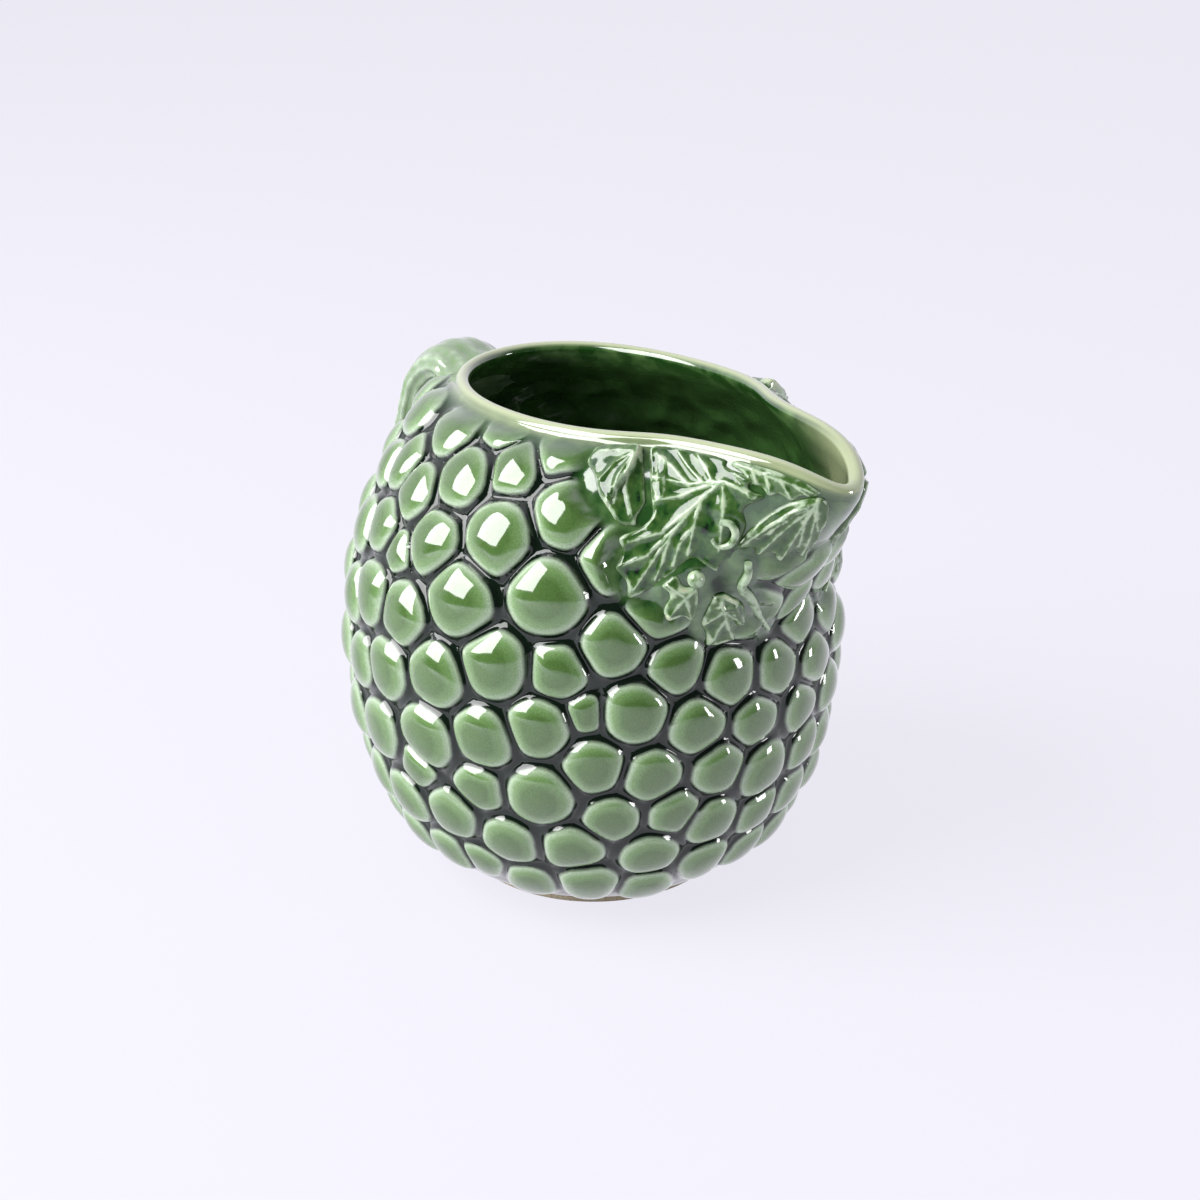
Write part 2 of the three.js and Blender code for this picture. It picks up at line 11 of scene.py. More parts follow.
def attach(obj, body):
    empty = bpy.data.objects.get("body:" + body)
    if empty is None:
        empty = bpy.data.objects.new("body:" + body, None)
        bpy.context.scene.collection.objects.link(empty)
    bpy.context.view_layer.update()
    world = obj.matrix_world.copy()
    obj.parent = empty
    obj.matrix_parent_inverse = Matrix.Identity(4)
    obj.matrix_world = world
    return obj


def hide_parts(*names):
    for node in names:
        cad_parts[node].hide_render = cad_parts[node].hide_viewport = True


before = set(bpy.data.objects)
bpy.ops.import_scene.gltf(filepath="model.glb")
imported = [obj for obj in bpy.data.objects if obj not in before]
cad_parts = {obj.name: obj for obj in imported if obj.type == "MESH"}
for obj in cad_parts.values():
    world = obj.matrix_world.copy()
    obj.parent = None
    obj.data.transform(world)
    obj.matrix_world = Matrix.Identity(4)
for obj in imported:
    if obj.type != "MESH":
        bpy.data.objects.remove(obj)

bl_info = {
    "name": "Grape Jug",
    "version": (1, 0, 0),
    "blender": (4, 5, 0),
    "location": "3D View > Sidebar > Grape Jug",
    "description": "Builds a green glazed jug shaped as a bunch of grapes, with its leaves and its handle",
    "category": "Add Mesh",
}

# The jug stands on Z = 0 with its axis on Z, its spout towards +X and its handle towards -X. Shapes are
# worked out in millimetres. A place on the wall is an angle in degrees, 0 at the spout and negative on
# the right-hand side, and a level, from 0 at the foot to 100 under the lip.
METRE = 0.001  # of a millimetre
BELLY_LEVEL = 50
LIP_LEVEL = 100

# The wall's outline bulges from the foot out to the belly and from there up to the shoulder and the neck
FOOT_BULGE = 59.0
FOOT_RISE = 10.0
UPRIGHT_BELOW = 34.0
UPRIGHT_ABOVE = 30.0
SHOULDER = (63.0, 133.0)

# The mouth's half length and half width, and how it widens into a spout, rises to it and drops at its tip
MOUTH_HALF = (42.0, 34.0)
SPOUT_FLARE = 15.0
FLARE_ANGLE = 52.0
BEAK_ANGLE = 14.0
FRONT_RISE = 2.7
RISE_ANGLE = 60.0
TIP_DROP = 7.6
TIP_ANGLE = 6.5

# From the spring up the wall leans over into the shape of the mouth, and is gathered towards the spout
SPRING_HEIGHT = 95.0
LEAN_POWER = 1.45
GATHER = 0.5

# The inside, from the throat down to the floor, which is lowest in the middle
THROAT_LEVEL = 96.0
FLOOR_LEVEL = 12.0
FLOOR_STEPS = 14
FLOOR_HOLLOW = 1.2

FOOT_HEIGHT = 3.0
FOOT_RING_WIDTH = 7.0
FOOT_RING_INSET = 0.8
FOOT_SIDES = 128

# Levels between which the grapes' relief grows above the foot and dies away below the lip, outside
# and, as shallow hollows, inside
FOOT_FADE = (4.0, 11.0)
LIP_FADE = (94.0, 100.0)
HOLLOW_FOOT_FADE = (8, 20)
HOLLOW_LIP_FADE = (84, 94)

# The glaze drains thin just under the lip, on its crest and, round the spout, down its inside
DRAINED_LEVEL = 98.3
DRAINED_SHARE = 0.4
SPILL_ANGLE = 25
SPILL_SHARE = 0.9
SPILL_FADE = (78, 90)

# Smooth seats for what is luted on, how far they fade out, and what stands on them
SEAT_HEIGHT = 1.6
SEAT_FADE = 3.5
STEM_SEAT = 2.5
STEM_LIFT = 0.2
STEM_RADIUS = 1.3
TENDRIL_SEAT = 1.7
TENDRIL_RADIUS = 1.1
BUD_RADIUS = 2.4
BUD_LIFT = 2.0

# Leaves: the veins' width, how far the glaze fills in round a leaf, and how finely a leaf is drawn
VEIN_WIDTH = 0.43
LEAF_SPREAD = 1.07
RIM_STEP = 0.45
VEIN_STEP = 0.55
BLADE_STEP = 0.8
RIM_CLEARANCE = 0.33
CROWDED = 0.1  # the square of the distance under which a place is left out

# Grapes further round than this angle are repeated on the left side, and the left side's sprigs lie
# this much further round than the right side's
FRONT_ANGLE = 38.0
LEFT_TURN = 18.0

# Grapes by course, from the foot up: angle, level and radius
GRAPES = [
    (31, 20.5, 8), (17, 20, 8), (2, 21, 7.5), (-14, 22.5, 8.5), (-29, 17.5, 8), (-45, 20, 9),
    (-62, 18.5, 7.5), (-75, 22, 7), (-87, 21.5, 8), (-102, 21, 8), (-118, 21, 8.5), (-135, 20.5, 8.5),
    (-152, 21, 8.5), (-170, 20.5, 8.5),
    (30, 30, 9), (14, 31, 8), (0, 31, 8), (-15, 33, 9), (-30, 27.5, 9), (-49, 30, 9), (-65, 30, 9),
    (-80, 33, 9.5), (-96, 31.5, 9.5), (-111, 31, 8.5), (-127, 31, 9), (-144, 31, 9), (-161, 30.5, 9),
    (28, 37.5, 8), (15, 39.5, 8), (-2, 40, 9.5), (-25, 36.5, 8), (-40, 36.5, 8), (-56, 40.5, 10),
    (-71, 40, 7.5), (-89, 39.5, 7), (-102, 43, 10), (-119, 41, 9.5), (-135, 41, 9.5), (-151, 41, 9.5),
    (28, 46, 8.5), (11, 47.5, 7.5), (-6, 49, 8), (-15, 43, 9), (-31, 44, 8.5), (-44, 46, 8.5),
    (-69, 49, 10), (-84, 46.5, 10.5), (-111, 52, 9), (-127, 51, 10), (-143, 51.5, 10), (-159, 51, 10),
    (35, 54.5, 9.5), (17, 54, 8.5), (1, 56.5, 8), (-21, 51, 9), (-35, 54.5, 9.5), (-46, 54.5, 5),
    (-56, 52, 9.5), (-81, 57, 11), (-97, 54.5, 10), (-119, 61, 10), (-135, 62, 10), (-151, 61.5, 10),
    (25, 60.5, 8.5), (10, 63, 8.5), (-13, 57.5, 8.5), (-26, 61, 8), (-40, 65.5, 9.5), (-52, 61, 8.5),
    (-66, 61, 11), (-93, 64.5, 10.5), (-107, 64.5, 10.5), (-127, 71.5, 10), (-143, 72, 10),
    (-160, 71, 10),
    (30, 70.5, 9), (19, 69.5, 8.5), (27, 79.5, 9), (15, 77, 9), (-8, 69, 10.5), (5, 68.5, 7.5),
    (-8, 79.5, 7), (-1, 76, 9), (27, 87.5, 8.5), (-32, 71, 8.5), (-46, 79.5, 9.5), (-58, 73, 12),
    (-78, 70, 12),
    (-103, 73, 7), (-115, 75, 9.5), (-136, 82, 9.5), (-154, 81, 10),
    (-62, 86, 10), (-76, 80.5, 11.5), (-93, 77, 10.5), (-99, 88, 10.5), (-111, 82.5, 10),
    (-125, 84.5, 9.5), (-145, 91, 9), (-163, 90, 9),
    (-77, 97, 8), (-86, 92, 8.5), (-104, 98, 7.5), (-120, 94, 9.5),
]
BACK_GRAPES = [
    (180, 31, 8.5), (168, 41, 9), (-168, 41, 9), (176, 51, 8), (-168, 61, 9), (168, 61, 9),
    (180, 70, 9), (-170, 80, 8), (170, 80, 8),
]

# Places where the wall stays smooth: angle, level, radius and height of each seat
LEAF_SEATS = [
    (-36, 79, 11, 0), (-30, 88, 17, 0), (-40, 92, 14, 0), (-52, 93, 11, 0),
    (-27, 73.5, 6.5, SEAT_HEIGHT), (-17, 69, 7, SEAT_HEIGHT),
]
MIDDLE_SEATS = [
    (-25, 96, 12, 0), (-13, 96, 15, 0), (-12, 86, 8, 0), (0, 93, 15, 0), (12, 86, 8, 0), (13, 96, 15, 0),
    (25, 96, 12, 0), (180, 96, 15, 0), (180, 37, 12, 0),
]

# Leaf outlines, clockwise as seen from outside, and the veins that run out over each leaf
LARGE_LEAF = [
    (-47, 99), (-30, 99), (-26, 98.5), (-26.4, 97), (-20, 96), (-22.3, 94), (-18, 93), (-22, 90), (-20, 87),
    (-20, 84), (-19, 81), (-22, 80), (-22, 78), (-26, 79.7), (-28, 80.5), (-30, 78.5), (-32, 77),
    (-35, 75), (-39, 73.5), (-40, 76.5), (-44, 78.5), (-43, 81), (-46, 83.5), (-41, 85), (-39, 87),
    (-41, 90), (-44, 94.5),
]
LARGE_VEINS = [
    [(-26, 94.8), (-33, 93.2), (-44, 93.8)],
    [(-26, 94.8), (-34, 91), (-45, 88.6)],
    [(-26, 94.8), (-31, 89), (-35, 82), (-38.5, 75)],
    [(-31, 89), (-36, 84.5), (-43.5, 82.5)],
    [(-33, 85.5), (-38, 80.5), (-42.5, 78.8)],
    [(-34, 84), (-34, 79.5), (-34.5, 76.5)],
    [(-29.5, 91), (-29.5, 86), (-29, 81)],
    [(-29.5, 86), (-31.5, 82.5), (-31.5, 79)],
    [(-26, 94.8), (-24.5, 89), (-23, 82)],
    [(-26, 94.8), (-23, 94.2), (-19.5, 93)],
    [(-33, 93.2), (-38, 96), (-44, 98)],
    [(-30, 94), (-34, 96.5), (-37, 98.6)],
    [(-28, 94.5), (-30, 97), (-32, 98.8)],
]
FOLDED_LEAF = [
    (-66, 99), (-50, 99), (-48.5, 97), (-46, 94), (-44, 91), (-43, 89.5), (-44, 87), (-43, 85.5),
    (-48, 85.5), (-52, 87.8), (-57, 90.5), (-61, 93.5), (-66, 95.5),
]
FOLDED_VEINS = [
    [(-51, 97.5), (-50, 92), (-45, 87)],
    [(-51, 97.5), (-53, 93), (-51, 88.8)],
    [(-51, 97.5), (-56, 95.5), (-58, 92.5)],
    [(-51, 97.5), (-58, 97.8), (-64, 97.6)],
]
SPOUT_LEAF = [
    (-24, 99.8), (-18, 99.8), (-12, 99.8), (-8.5, 98.5), (-10, 96), (-12, 96), (-13.5, 93.6), (-15.5, 94.8),
    (-17.5, 93.6), (-19, 95.4), (-21.5, 95), (-22, 97), (-25, 98.2),
]
SPOUT_VEINS = [
    [(-24, 99), (-18, 98), (-10, 97.8)],
    [(-21, 98.6), (-20, 96)],
    [(-18.6, 98.2), (-17.4, 94.8)],
    [(-16, 98.1), (-13.6, 94.6)],
    [(-13.5, 98), (-11, 96.6)],
]
THROAT_LEAF = [
    (-11, 95.2), (-8.2, 97), (-6.2, 95), (-5, 90), (-4, 85), (-4.6, 80), (-7.5, 82.5), (-9.5, 79.5),
    (-12, 82.5), (-15, 81), (-16, 83), (-20, 82.4), (-18.4, 86), (-16.8, 88.8), (-15, 91.4), (-13, 93.6),
]
THROAT_VEINS = [
    [(-8.8, 96.4), (-7.6, 90), (-5.2, 81.4)],
    [(-8.8, 96.4), (-9.6, 89), (-9.6, 80.6)],
    [(-9.2, 94), (-12, 88.5), (-14.8, 82)],
    [(-9, 95.6), (-13, 91), (-18.8, 83.4)],
    [(-8.2, 92.5), (-6, 88.5)],
    [(-9.6, 90), (-7.6, 84)],
    [(-13.6, 90.2), (-14.6, 86.4)],
]
UPPER_SMALL_LEAF = [
    (-23.5, 72), (-24, 69), (-26.5, 70.5), (-29.5, 69.5), (-31, 71.5), (-30, 74), (-33, 75.5),
    (-30, 77.6), (-28, 75.4), (-25, 75.6),
]
UPPER_SMALL_VEINS = [
    [(-27, 74), (-31.5, 76)], [(-27, 74), (-29.5, 70.5)], [(-27, 74), (-24.5, 70)],
    [(-27, 74), (-25.5, 75)],
]
LOWER_SMALL_LEAF = [
    (-20.5, 73.5), (-18, 73.8), (-13, 71.5), (-10.5, 68), (-12.5, 66.5), (-12, 64), (-15, 64.5),
    (-19, 64), (-19.5, 66.5), (-21.5, 68.5), (-21, 71),
]
LOWER_SMALL_VEINS = [
    [(-19, 73), (-16, 68.5), (-13, 64.8)], [(-17.5, 71), (-20.5, 69)], [(-16.5, 69.5), (-18.5, 65)],
    [(-17.5, 71), (-12, 68)],
]

# Where a leaf is folded over or buckled: the crest's line, its width and its height in millimetres
FOLDS = {
    "large_vine_leaf": [
        ([(-24, 97.6), (-21.2, 95.4), (-20, 93.2)], 1.1, 0.8),
        ([(-41.5, 96.5), (-39.5, 91)], 1.6, 0.7),
    ],
    "throat_leaf": [([(-10.5, 94), (-13.5, 89.5), (-16.5, 85.5)], 0.9, 0.5)],
    "small_leaf_lower": [([(-19.5, 71.5), (-15.5, 71.5), (-12, 68)], 0.9, 1.0)],
}

# Where a leaf is turned over into a flap: the line of its free edge, and the flap's width and height
# in millimetres
FLAPS = {"folded_leaf": ([(-49.6, 98.8), (-50, 95), (-52.5, 91.2)], 13.0, 2.3)}

# The bud's place, and the places that the tendril and the vine stem run through: angles and levels
BUD_PLACE = (-26, 77.5)
CURL_RUN = [(-24.5, 87.6), (-22.3, 87.4), (-20.9, 85.6), (-21.5, 83.6), (-23.6, 83.2), (-25, 84.3)]
STEM_RUN = [(-16.5, 80.5), (-15.5, 78), (-15.5, 75.5), (-12, 72.8), (-8, 69), (-3, 64.5)]

# The handle's centre line: distance behind the belly's wall, and height
HANDLE_RUN = [
    (-26.5, 130), (-21.5, 138.5), (-11.5, 142.8), (-0.5, 135.5), (6.5, 119), (13.5, 100), (19.5, 84),
    (21.8, 68), (18.5, 53), (7.5, 42.5), (-15.5, 37),
]

# The level direction in which the camera stands. The glaze mirrors the paper up to its near end. Most
# of what the eye sees of the paper is an even glow, and the rest is lit and holds the jug's shadow.
CAMERA_AZIMUTH = -44
TOWARDS_CAMERA = (math.cos(math.radians(CAMERA_AZIMUTH)), math.sin(math.radians(CAMERA_AZIMUTH)), 0.0)
PAPER_END = 0.27
PAPER_FADE = 0.06
PAPER_GLOW = 0.84
PAPER_HALF = 3000.0

# The camera, in metres and degrees, and the photograph's pixels: its side and the place that the jug's
# middle has in it
CAMERA_ELEVATION = 25
CAMERA_DISTANCE = 0.62
CAMERA_AIM = (0, 0, 0.075)
CAMERA_LENS = 61.5
PHOTO_SIDE = 1200
JUG_MIDDLE = (593.7, 618)

# Softboxes: name, place, width and height in metres, and watts
LAMP_AIM = (0, 0, 0.08)
LAMPS = [
    ("large softbox", (-0.40, -0.98, 0.82), (1.1, 1.1), 29.0),
    ("small softbox", (0.88, 0.47, 0.2), (0.16, 0.3), 2.0),
]

# Where the handle meets the wall, its clay is spread this far, beginning at this height over the wall
LUTE_SPREAD = 2.6
LUTE_HEIGHT = 5.5

# How finely the branch and the stems are drawn: steps along them and corners round them
HANDLE_STEPS = 220
HANDLE_SIDES = 72
STEM_STEPS = 60
STEM_SIDES = 20

# How finely the wall is drawn: share of the way to a grape's edge, number of places round it, and how
# far apart they are kept
GROOVE_SHARE = 1.04
GRAPE_RINGS = [
    (GROOVE_SHARE, 72, 0.42), (0.99, 64, 0.38), (0.94, 58, 0.4), (0.88, 46, 0.5), (0.8, 36, 0.6),
    (0.7, 26, 0.7), (0.58, 18, 0.8), (0.43, 12, 0.8), (0.25, 6, 0.8),
]
GROOVE_POWER = 60.0  # draws the outermost ring along the very bottom of the grooves
CORNER_POWER = 7.0
LONELY_SHARE = 1.4
COLUMNS = 256
FILL_ROWS = 110
FILL_SPACING = 1.3
LIP_STEPS = 12
INNER_STEPS = 60
GROOVE_FILLET = 0.08


class JugSizes(bpy.types.PropertyGroup):
    """Sizes of the jug."""

    rim_height: bpy.props.FloatProperty(
        name="Rim height", description="Height of the lip at the back", default=0.150, unit="LENGTH")
    belly_height: bpy.props.FloatProperty(
        name="Belly height", description="Height of the widest place", default=0.072, unit="LENGTH")
    belly_radius: bpy.props.FloatProperty(
        name="Belly radius", description="Radius of the wall between the grapes", default=0.0715,
        unit="LENGTH")
    foot_radius: bpy.props.FloatProperty(
        name="Foot radius", description="Radius where the wall meets the foot", default=0.042,
        unit="LENGTH")
    neck_radius: bpy.props.FloatProperty(
        name="Neck radius", description="Radius under the lip", default=0.040, unit="LENGTH")
    wall_thickness: bpy.props.FloatProperty(
        name="Wall thickness", description="Thickness of the cast wall", default=0.0044, unit="LENGTH")
    spout_beak: bpy.props.FloatProperty(
        name="Spout beak", description="How far the beak reaches past the mouth's funnel",
        default=0.038, unit="LENGTH")
    bulge: bpy.props.FloatProperty(
        name="Bulge", description="Height of a grape as a share of its radius", default=0.46,
        subtype="FACTOR")
    dimple: bpy.props.FloatProperty(
        name="Dimple", description="Depth of the hollows inside the grapes", default=0.0016,
        unit="LENGTH")
    branch_thickness: bpy.props.FloatProperty(
        name="Handle thickness", description="Handle, measured towards the jug", default=0.011,
        unit="LENGTH")
    branch_width: bpy.props.FloatProperty(
        name="Handle width", description="Handle, measured from side to side", default=0.020,
        unit="LENGTH")


class GlazeColours(bpy.types.PropertyGroup):
    """Colours of the glazes and the clay, as sRGB hex values."""

    dome: bpy.props.StringProperty(
        name="Dome", description="Glaze on the crown of a grape", default="#4C6C34")
    thin: bpy.props.StringProperty(
        name="Thin glaze", description="Where the glaze thins on an edge", default="#A9BF9E")
    flank: bpy.props.StringProperty(
        name="Flank", description="Glaze on the side of a grape", default="#709259")
    pooled: bpy.props.StringProperty(
        name="Pooled glaze", description="Where the glaze runs together in a groove", default="#0A190E")
    inside: bpy.props.StringProperty(
        name="Inside", description="Glaze inside the jug", default="#3D6130")
    lip: bpy.props.StringProperty(
        name="Lip", description="Glaze drained off the lip", default="#B3BD93")
    leaf: bpy.props.StringProperty(
        name="Leaf", description="Glaze between the veins of a leaf", default="#21491A")
    vein: bpy.props.StringProperty(
        name="Vein", description="Glaze on a leaf's veins and edges", default="#CBD3AE")
    bark: bpy.props.StringProperty(
        name="Branch", description="Glaze on the handle", default="#869A7C")
    clay: bpy.props.StringProperty(
        name="Bare clay", description="The unglazed foot", default="#CDBFA6")
    grit: bpy.props.StringProperty(
        name="Grit", description="Darker grains in the unglazed foot", default="#A8977A")


def linear(hex_colour):
    """The linear colour of an sRGB hex value."""
    parts = [int(hex_colour[i:i + 2], 16) / 255 for i in (1, 3, 5)]
    return (*[c / 12.92 if c <= 0.04045 else ((c + 0.055) / 1.055) ** 2.4 for c in parts], 1.0)


def add_node(tree, kind, links=None, stops=(), **settings):
    """Adds a node, sets it up, and fills its inputs with values or with other nodes and sockets. The stops
    are those of a colour ramp, each a place and a hex colour."""
    new = tree.nodes.new(kind)
    for i, (position, hex_colour) in enumerate(stops):
        ramp = new.color_ramp.elements
        stop = ramp[i] if i < len(ramp) else ramp.new(position)
        stop.position, stop.color = position, linear(hex_colour)
    for name, value in settings.items():
        setattr(new, name, value)
    for place, value in (links or {}).items():
        source = value.outputs[0] if isinstance(value, bpy.types.Node) else value
        if isinstance(source, bpy.types.NodeSocket):
            tree.links.new(source, new.inputs[place])
        else:
            new.inputs[place].default_value = source
    return new


def maths(tree, operation, *values):
    """A node that works out a number."""
    return add_node(tree, "ShaderNodeMath", dict(enumerate(values)), operation=operation)


def stored(tree, geometry, name, value, kind="FLOAT", chosen=None):
    """A node that stores a named value on every corner, or on the chosen ones."""
    links = {"Geometry": geometry, "Name": name, "Value": value}
    if chosen is not None:
        links["Selection"] = chosen
    return add_node(tree, "GeometryNodeStoreNamedAttribute", links, data_type=kind, domain="POINT")


def smoothstep(value, low, high):
    """0 below low, 1 above high and smooth in between."""
    share = np.clip((value - low) / (high - low), 0, 1)
    return share * share * (3 - 2 * share)


def unit(vectors):
    """The vectors, each at length one."""
    return vectors / np.linalg.norm(vectors, axis=-1, keepdims=True)


def on_curve(points, share):
    """Points of a cubic curve at the given shares of its way."""
    a, b, c, d = np.array(points, float)
    share = np.asarray(share, float)[..., None]
    rest = 1 - share
    return rest ** 3 * a + 3 * rest ** 2 * share * b + 3 * rest * share ** 2 * c + share ** 3 * d


class Wall:
    """The smooth wall of the jug, in millimetres."""

    def __init__(self, sizes):
        self.thickness = sizes.wall_thickness / METRE
        self.neck = sizes.neck_radius / METRE
        self.foot = sizes.foot_radius / METRE
        self.beak = sizes.spout_beak / METRE
        self.lip_radius = self.thickness / 2
        self.lip_height = sizes.rim_height / METRE - self.lip_radius
        self.belly = sizes.belly_radius / METRE
        belly = (self.belly, sizes.belly_height / METRE)
        self.lower = [
            (self.foot, FOOT_HEIGHT), (FOOT_BULGE, FOOT_RISE), (belly[0], belly[1] - UPRIGHT_BELOW), belly]
        self.upper = [belly, (belly[0], belly[1] + UPRIGHT_ABOVE), SHOULDER, (self.neck, self.lip_height)]

    def lip_middle(self, angle):
        """The middle of the lip: an oval with a wide funnel and a narrow beak in front."""
        turn = np.radians(angle)
        oval = 1 / np.hypot(np.cos(turn) / MOUTH_HALF[0], np.sin(turn) / MOUTH_HALF[1])
        radius = oval + SPOUT_FLARE * np.exp(-(angle / FLARE_ANGLE) ** 2)
        radius = radius + self.beak * np.exp(-(angle / BEAK_ANGLE) ** 2)
        height = self.lip_height + FRONT_RISE * np.exp(-(angle / RISE_ANGLE) ** 2)
        height = height - TIP_DROP * np.exp(-(angle / TIP_ANGLE) ** 2)
        return np.stack([radius * np.cos(turn), radius * np.sin(turn), height], -1)

    def lip_outward(self, angle):
        """The lip's outward direction, level."""
        along = self.lip_middle(angle + 0.1) - self.lip_middle(angle - 0.1)
        return unit(np.stack([along[..., 1], -along[..., 0], np.zeros_like(angle)], -1))

    @staticmethod
    def mouth_angle(angle):
        """The angle round the mouth that the wall's upright line at an angle runs up to."""
        return angle - math.degrees(GATHER) * np.sin(np.radians(angle))

    def point(self, angle, level):
        """Points of the smooth wall."""
        angle, level = np.broadcast_arrays(np.asarray(angle, float), np.asarray(level, float))
        low = on_curve(self.lower, np.clip(level / BELLY_LEVEL, 0, 1))
        high = on_curve(self.upper, np.clip(level / BELLY_LEVEL - 1, 0, 1))
        radius, height = np.moveaxis(np.where((level < BELLY_LEVEL)[..., None], low, high), -1, 0)
        mouth = self.mouth_angle(angle)
        top = self.lip_middle(mouth) + self.lip_radius * self.lip_outward(mouth)
        rise = np.clip((height - SPRING_HEIGHT) / (self.lip_height - SPRING_HEIGHT), 0, 1)
        lean = rise ** LEAN_POWER
        straight = radius - lean * self.neck
        turn = np.radians(angle)
        return np.stack([
            straight * np.cos(turn) + lean * top[..., 0],
            straight * np.sin(turn) + lean * top[..., 1],
            height + lean ** 2 * (top[..., 2] - self.lip_height),
        ], -1)

    def outward(self, angle, level):
        """The wall's outward directions."""
        level = np.asarray(level, float)
        across = self.point(angle + 0.2, level) - self.point(angle - 0.2, level)
        above, below = np.minimum(level + 0.2, LIP_LEVEL), np.maximum(level - 0.2, 0)
        upward = self.point(angle, above) - self.point(angle, below)
        return unit(np.cross(across, upward))

    def off(self, angle, level, distance):
        """Points at a distance from the smooth wall."""
        return self.point(angle, level) + np.asarray(distance)[..., None] * self.outward(angle, level)

    def spacing(self, angle, level):
        """Millimetres of the wall to a degree and to a level at a place."""
        across = self.point(angle + 0.5, level) - self.point(angle - 0.5, level)
        upward = self.point(angle, level + 0.5) - self.point(angle, level - 0.5)
        return np.linalg.norm(across, axis=-1), np.linalg.norm(upward, axis=-1)


def whole_bunch():
    """Angle, level and radius of every grape. Those past the front are repeated on the left side."""
    other_side = [(-angle, level, radius) for angle, level, radius in GRAPES if angle < -FRONT_ANGLE]
    return np.array(GRAPES + other_side + BACK_GRAPES, float)


def whole_seats():
    """Angle, level, radius and height of every smooth seat."""
    stems = [(angle, level, STEM_SEAT, SEAT_HEIGHT) for angle, level in [BUD_PLACE, *STEM_RUN]]
    right = LEAF_SEATS + stems
    left = [(LEFT_TURN - angle, *rest) for angle, *rest in right]
    return np.array(right + left + MIDDLE_SEATS, float)


def reach(points, own, middles, radii, power):
    """How near each point is to the edge of its own grape, from 0 at its middle to 1."""
    near = ((points[..., None, :] - middles) ** 2).sum(-1) - radii ** 2
    near_own = np.take_along_axis(near, own[..., None], -1)
    span = ((middles[own][..., None, :] - middles) ** 2).sum(-1) - radii ** 2 + radii[own][..., None] ** 2
    is_own = np.arange(len(radii)) == own[..., None]
    share = np.where(is_own, 0, 1 - (near - near_own) / np.where(is_own, 1, span))
    away = np.linalg.norm(points - middles[own], axis=-1) / (radii[own] * LONELY_SHARE)
    pressed = (np.clip(share, 0, None) ** power).sum(-1) + away ** power
    return GROOVE_SHARE * pressed ** (1 / power)


def grape_rings(wall, bunch, share, count):
    """Places all round every grape at one share of the way to its edge."""
    angle, level, radius = (column[:, None] for column in bunch.T)
    middles = wall.point(bunch[:, 0], bunch[:, 1])
    degree, rise = wall.spacing(angle, level)
    turn = np.arange(count)[None, :] * 2 * math.pi / count
    own = np.repeat(np.arange(len(bunch))[:, None], count, 1)
    distance = radius * share * np.ones_like(turn)
    power = GROOVE_POWER if share == GROOVE_SHARE else CORNER_POWER
    for _ in range(6):
        places = angle + distance * np.cos(turn) / degree, level + distance * np.sin(turn) / rise
        found = reach(wall.point(*places), own, middles, bunch[:, 2], power)
        distance = np.minimum(distance * share / np.maximum(found, 0.02), radius * 1.5)
    return np.stack([(angle + distance * np.cos(turn) / degree).ravel(),
                     (level + distance * np.sin(turn) / rise).ravel()], -1)


class Spread:
    """Keeps places that aren't too near to one kept before."""

    def __init__(self, wall, cell=1.5):
        self.wall, self.cell, self.cells, self.places = wall, cell, {}, []

    def keep(self, places, apart):
        """Keeps those of the places that lie at least that far from the others."""
        points = self.wall.point(places[:, 0], places[:, 1])
        for place, point in zip(places.tolist(), points.tolist()):
            if not 0.6 < place[1] < 99.4:
                continue
            a, b, c = (int(value // self.cell) for value in point)
            close = (
                other
                for i in (a - 1, a, a + 1) for j in (b - 1, b, b + 1) for k in (c - 1, c, c + 1)
                for other in self.cells.get((i, j, k), ())
            )
            if any((point[0] - o[0]) ** 2 + (point[1] - o[1]) ** 2 + (point[2] - o[2]) ** 2 < apart ** 2
                   for o in close):
                continue
            self.cells.setdefault((a, b, c), []).append(point)
            self.places.append(place)


def column_angles(wall):
    """Angles that are evenly spaced along the lip."""
    fine = np.linspace(-180, 180, 4001)
    line = wall.lip_middle(wall.mouth_angle(fine))
    run = np.concatenate([[0], np.cumsum(np.linalg.norm(np.diff(line, axis=0), axis=1))])
    return np.interp(np.linspace(0, run[-1], COLUMNS + 1)[:-1], run, fine)


def wall_places(wall):
    """Where the outside of the wall has its corners: the foot, the lip, round every grape and between."""
    angles = column_angles(wall)
    bunch = whole_bunch()
    spread = Spread(wall)
    for share, count, apart in GRAPE_RINGS:
        places = grape_rings(wall, bunch, share, count)
        places[:, 0] = (places[:, 0] + 180) % 360 - 180
        spread.keep(places, apart)
    spread.keep(bunch[:, :2], 0.6)
    rows = np.linspace(1, LIP_LEVEL - 1, FILL_ROWS)
    grid = np.stack(np.meshgrid(angles, rows), -1).reshape(-1, 2)
    spread.keep(grid, FILL_SPACING)
    ends = [np.stack([angles, np.full(COLUMNS, level)], -1) for level in (0.0, LIP_LEVEL)]
    return angles, np.concatenate([*ends, np.array(spread.places)])


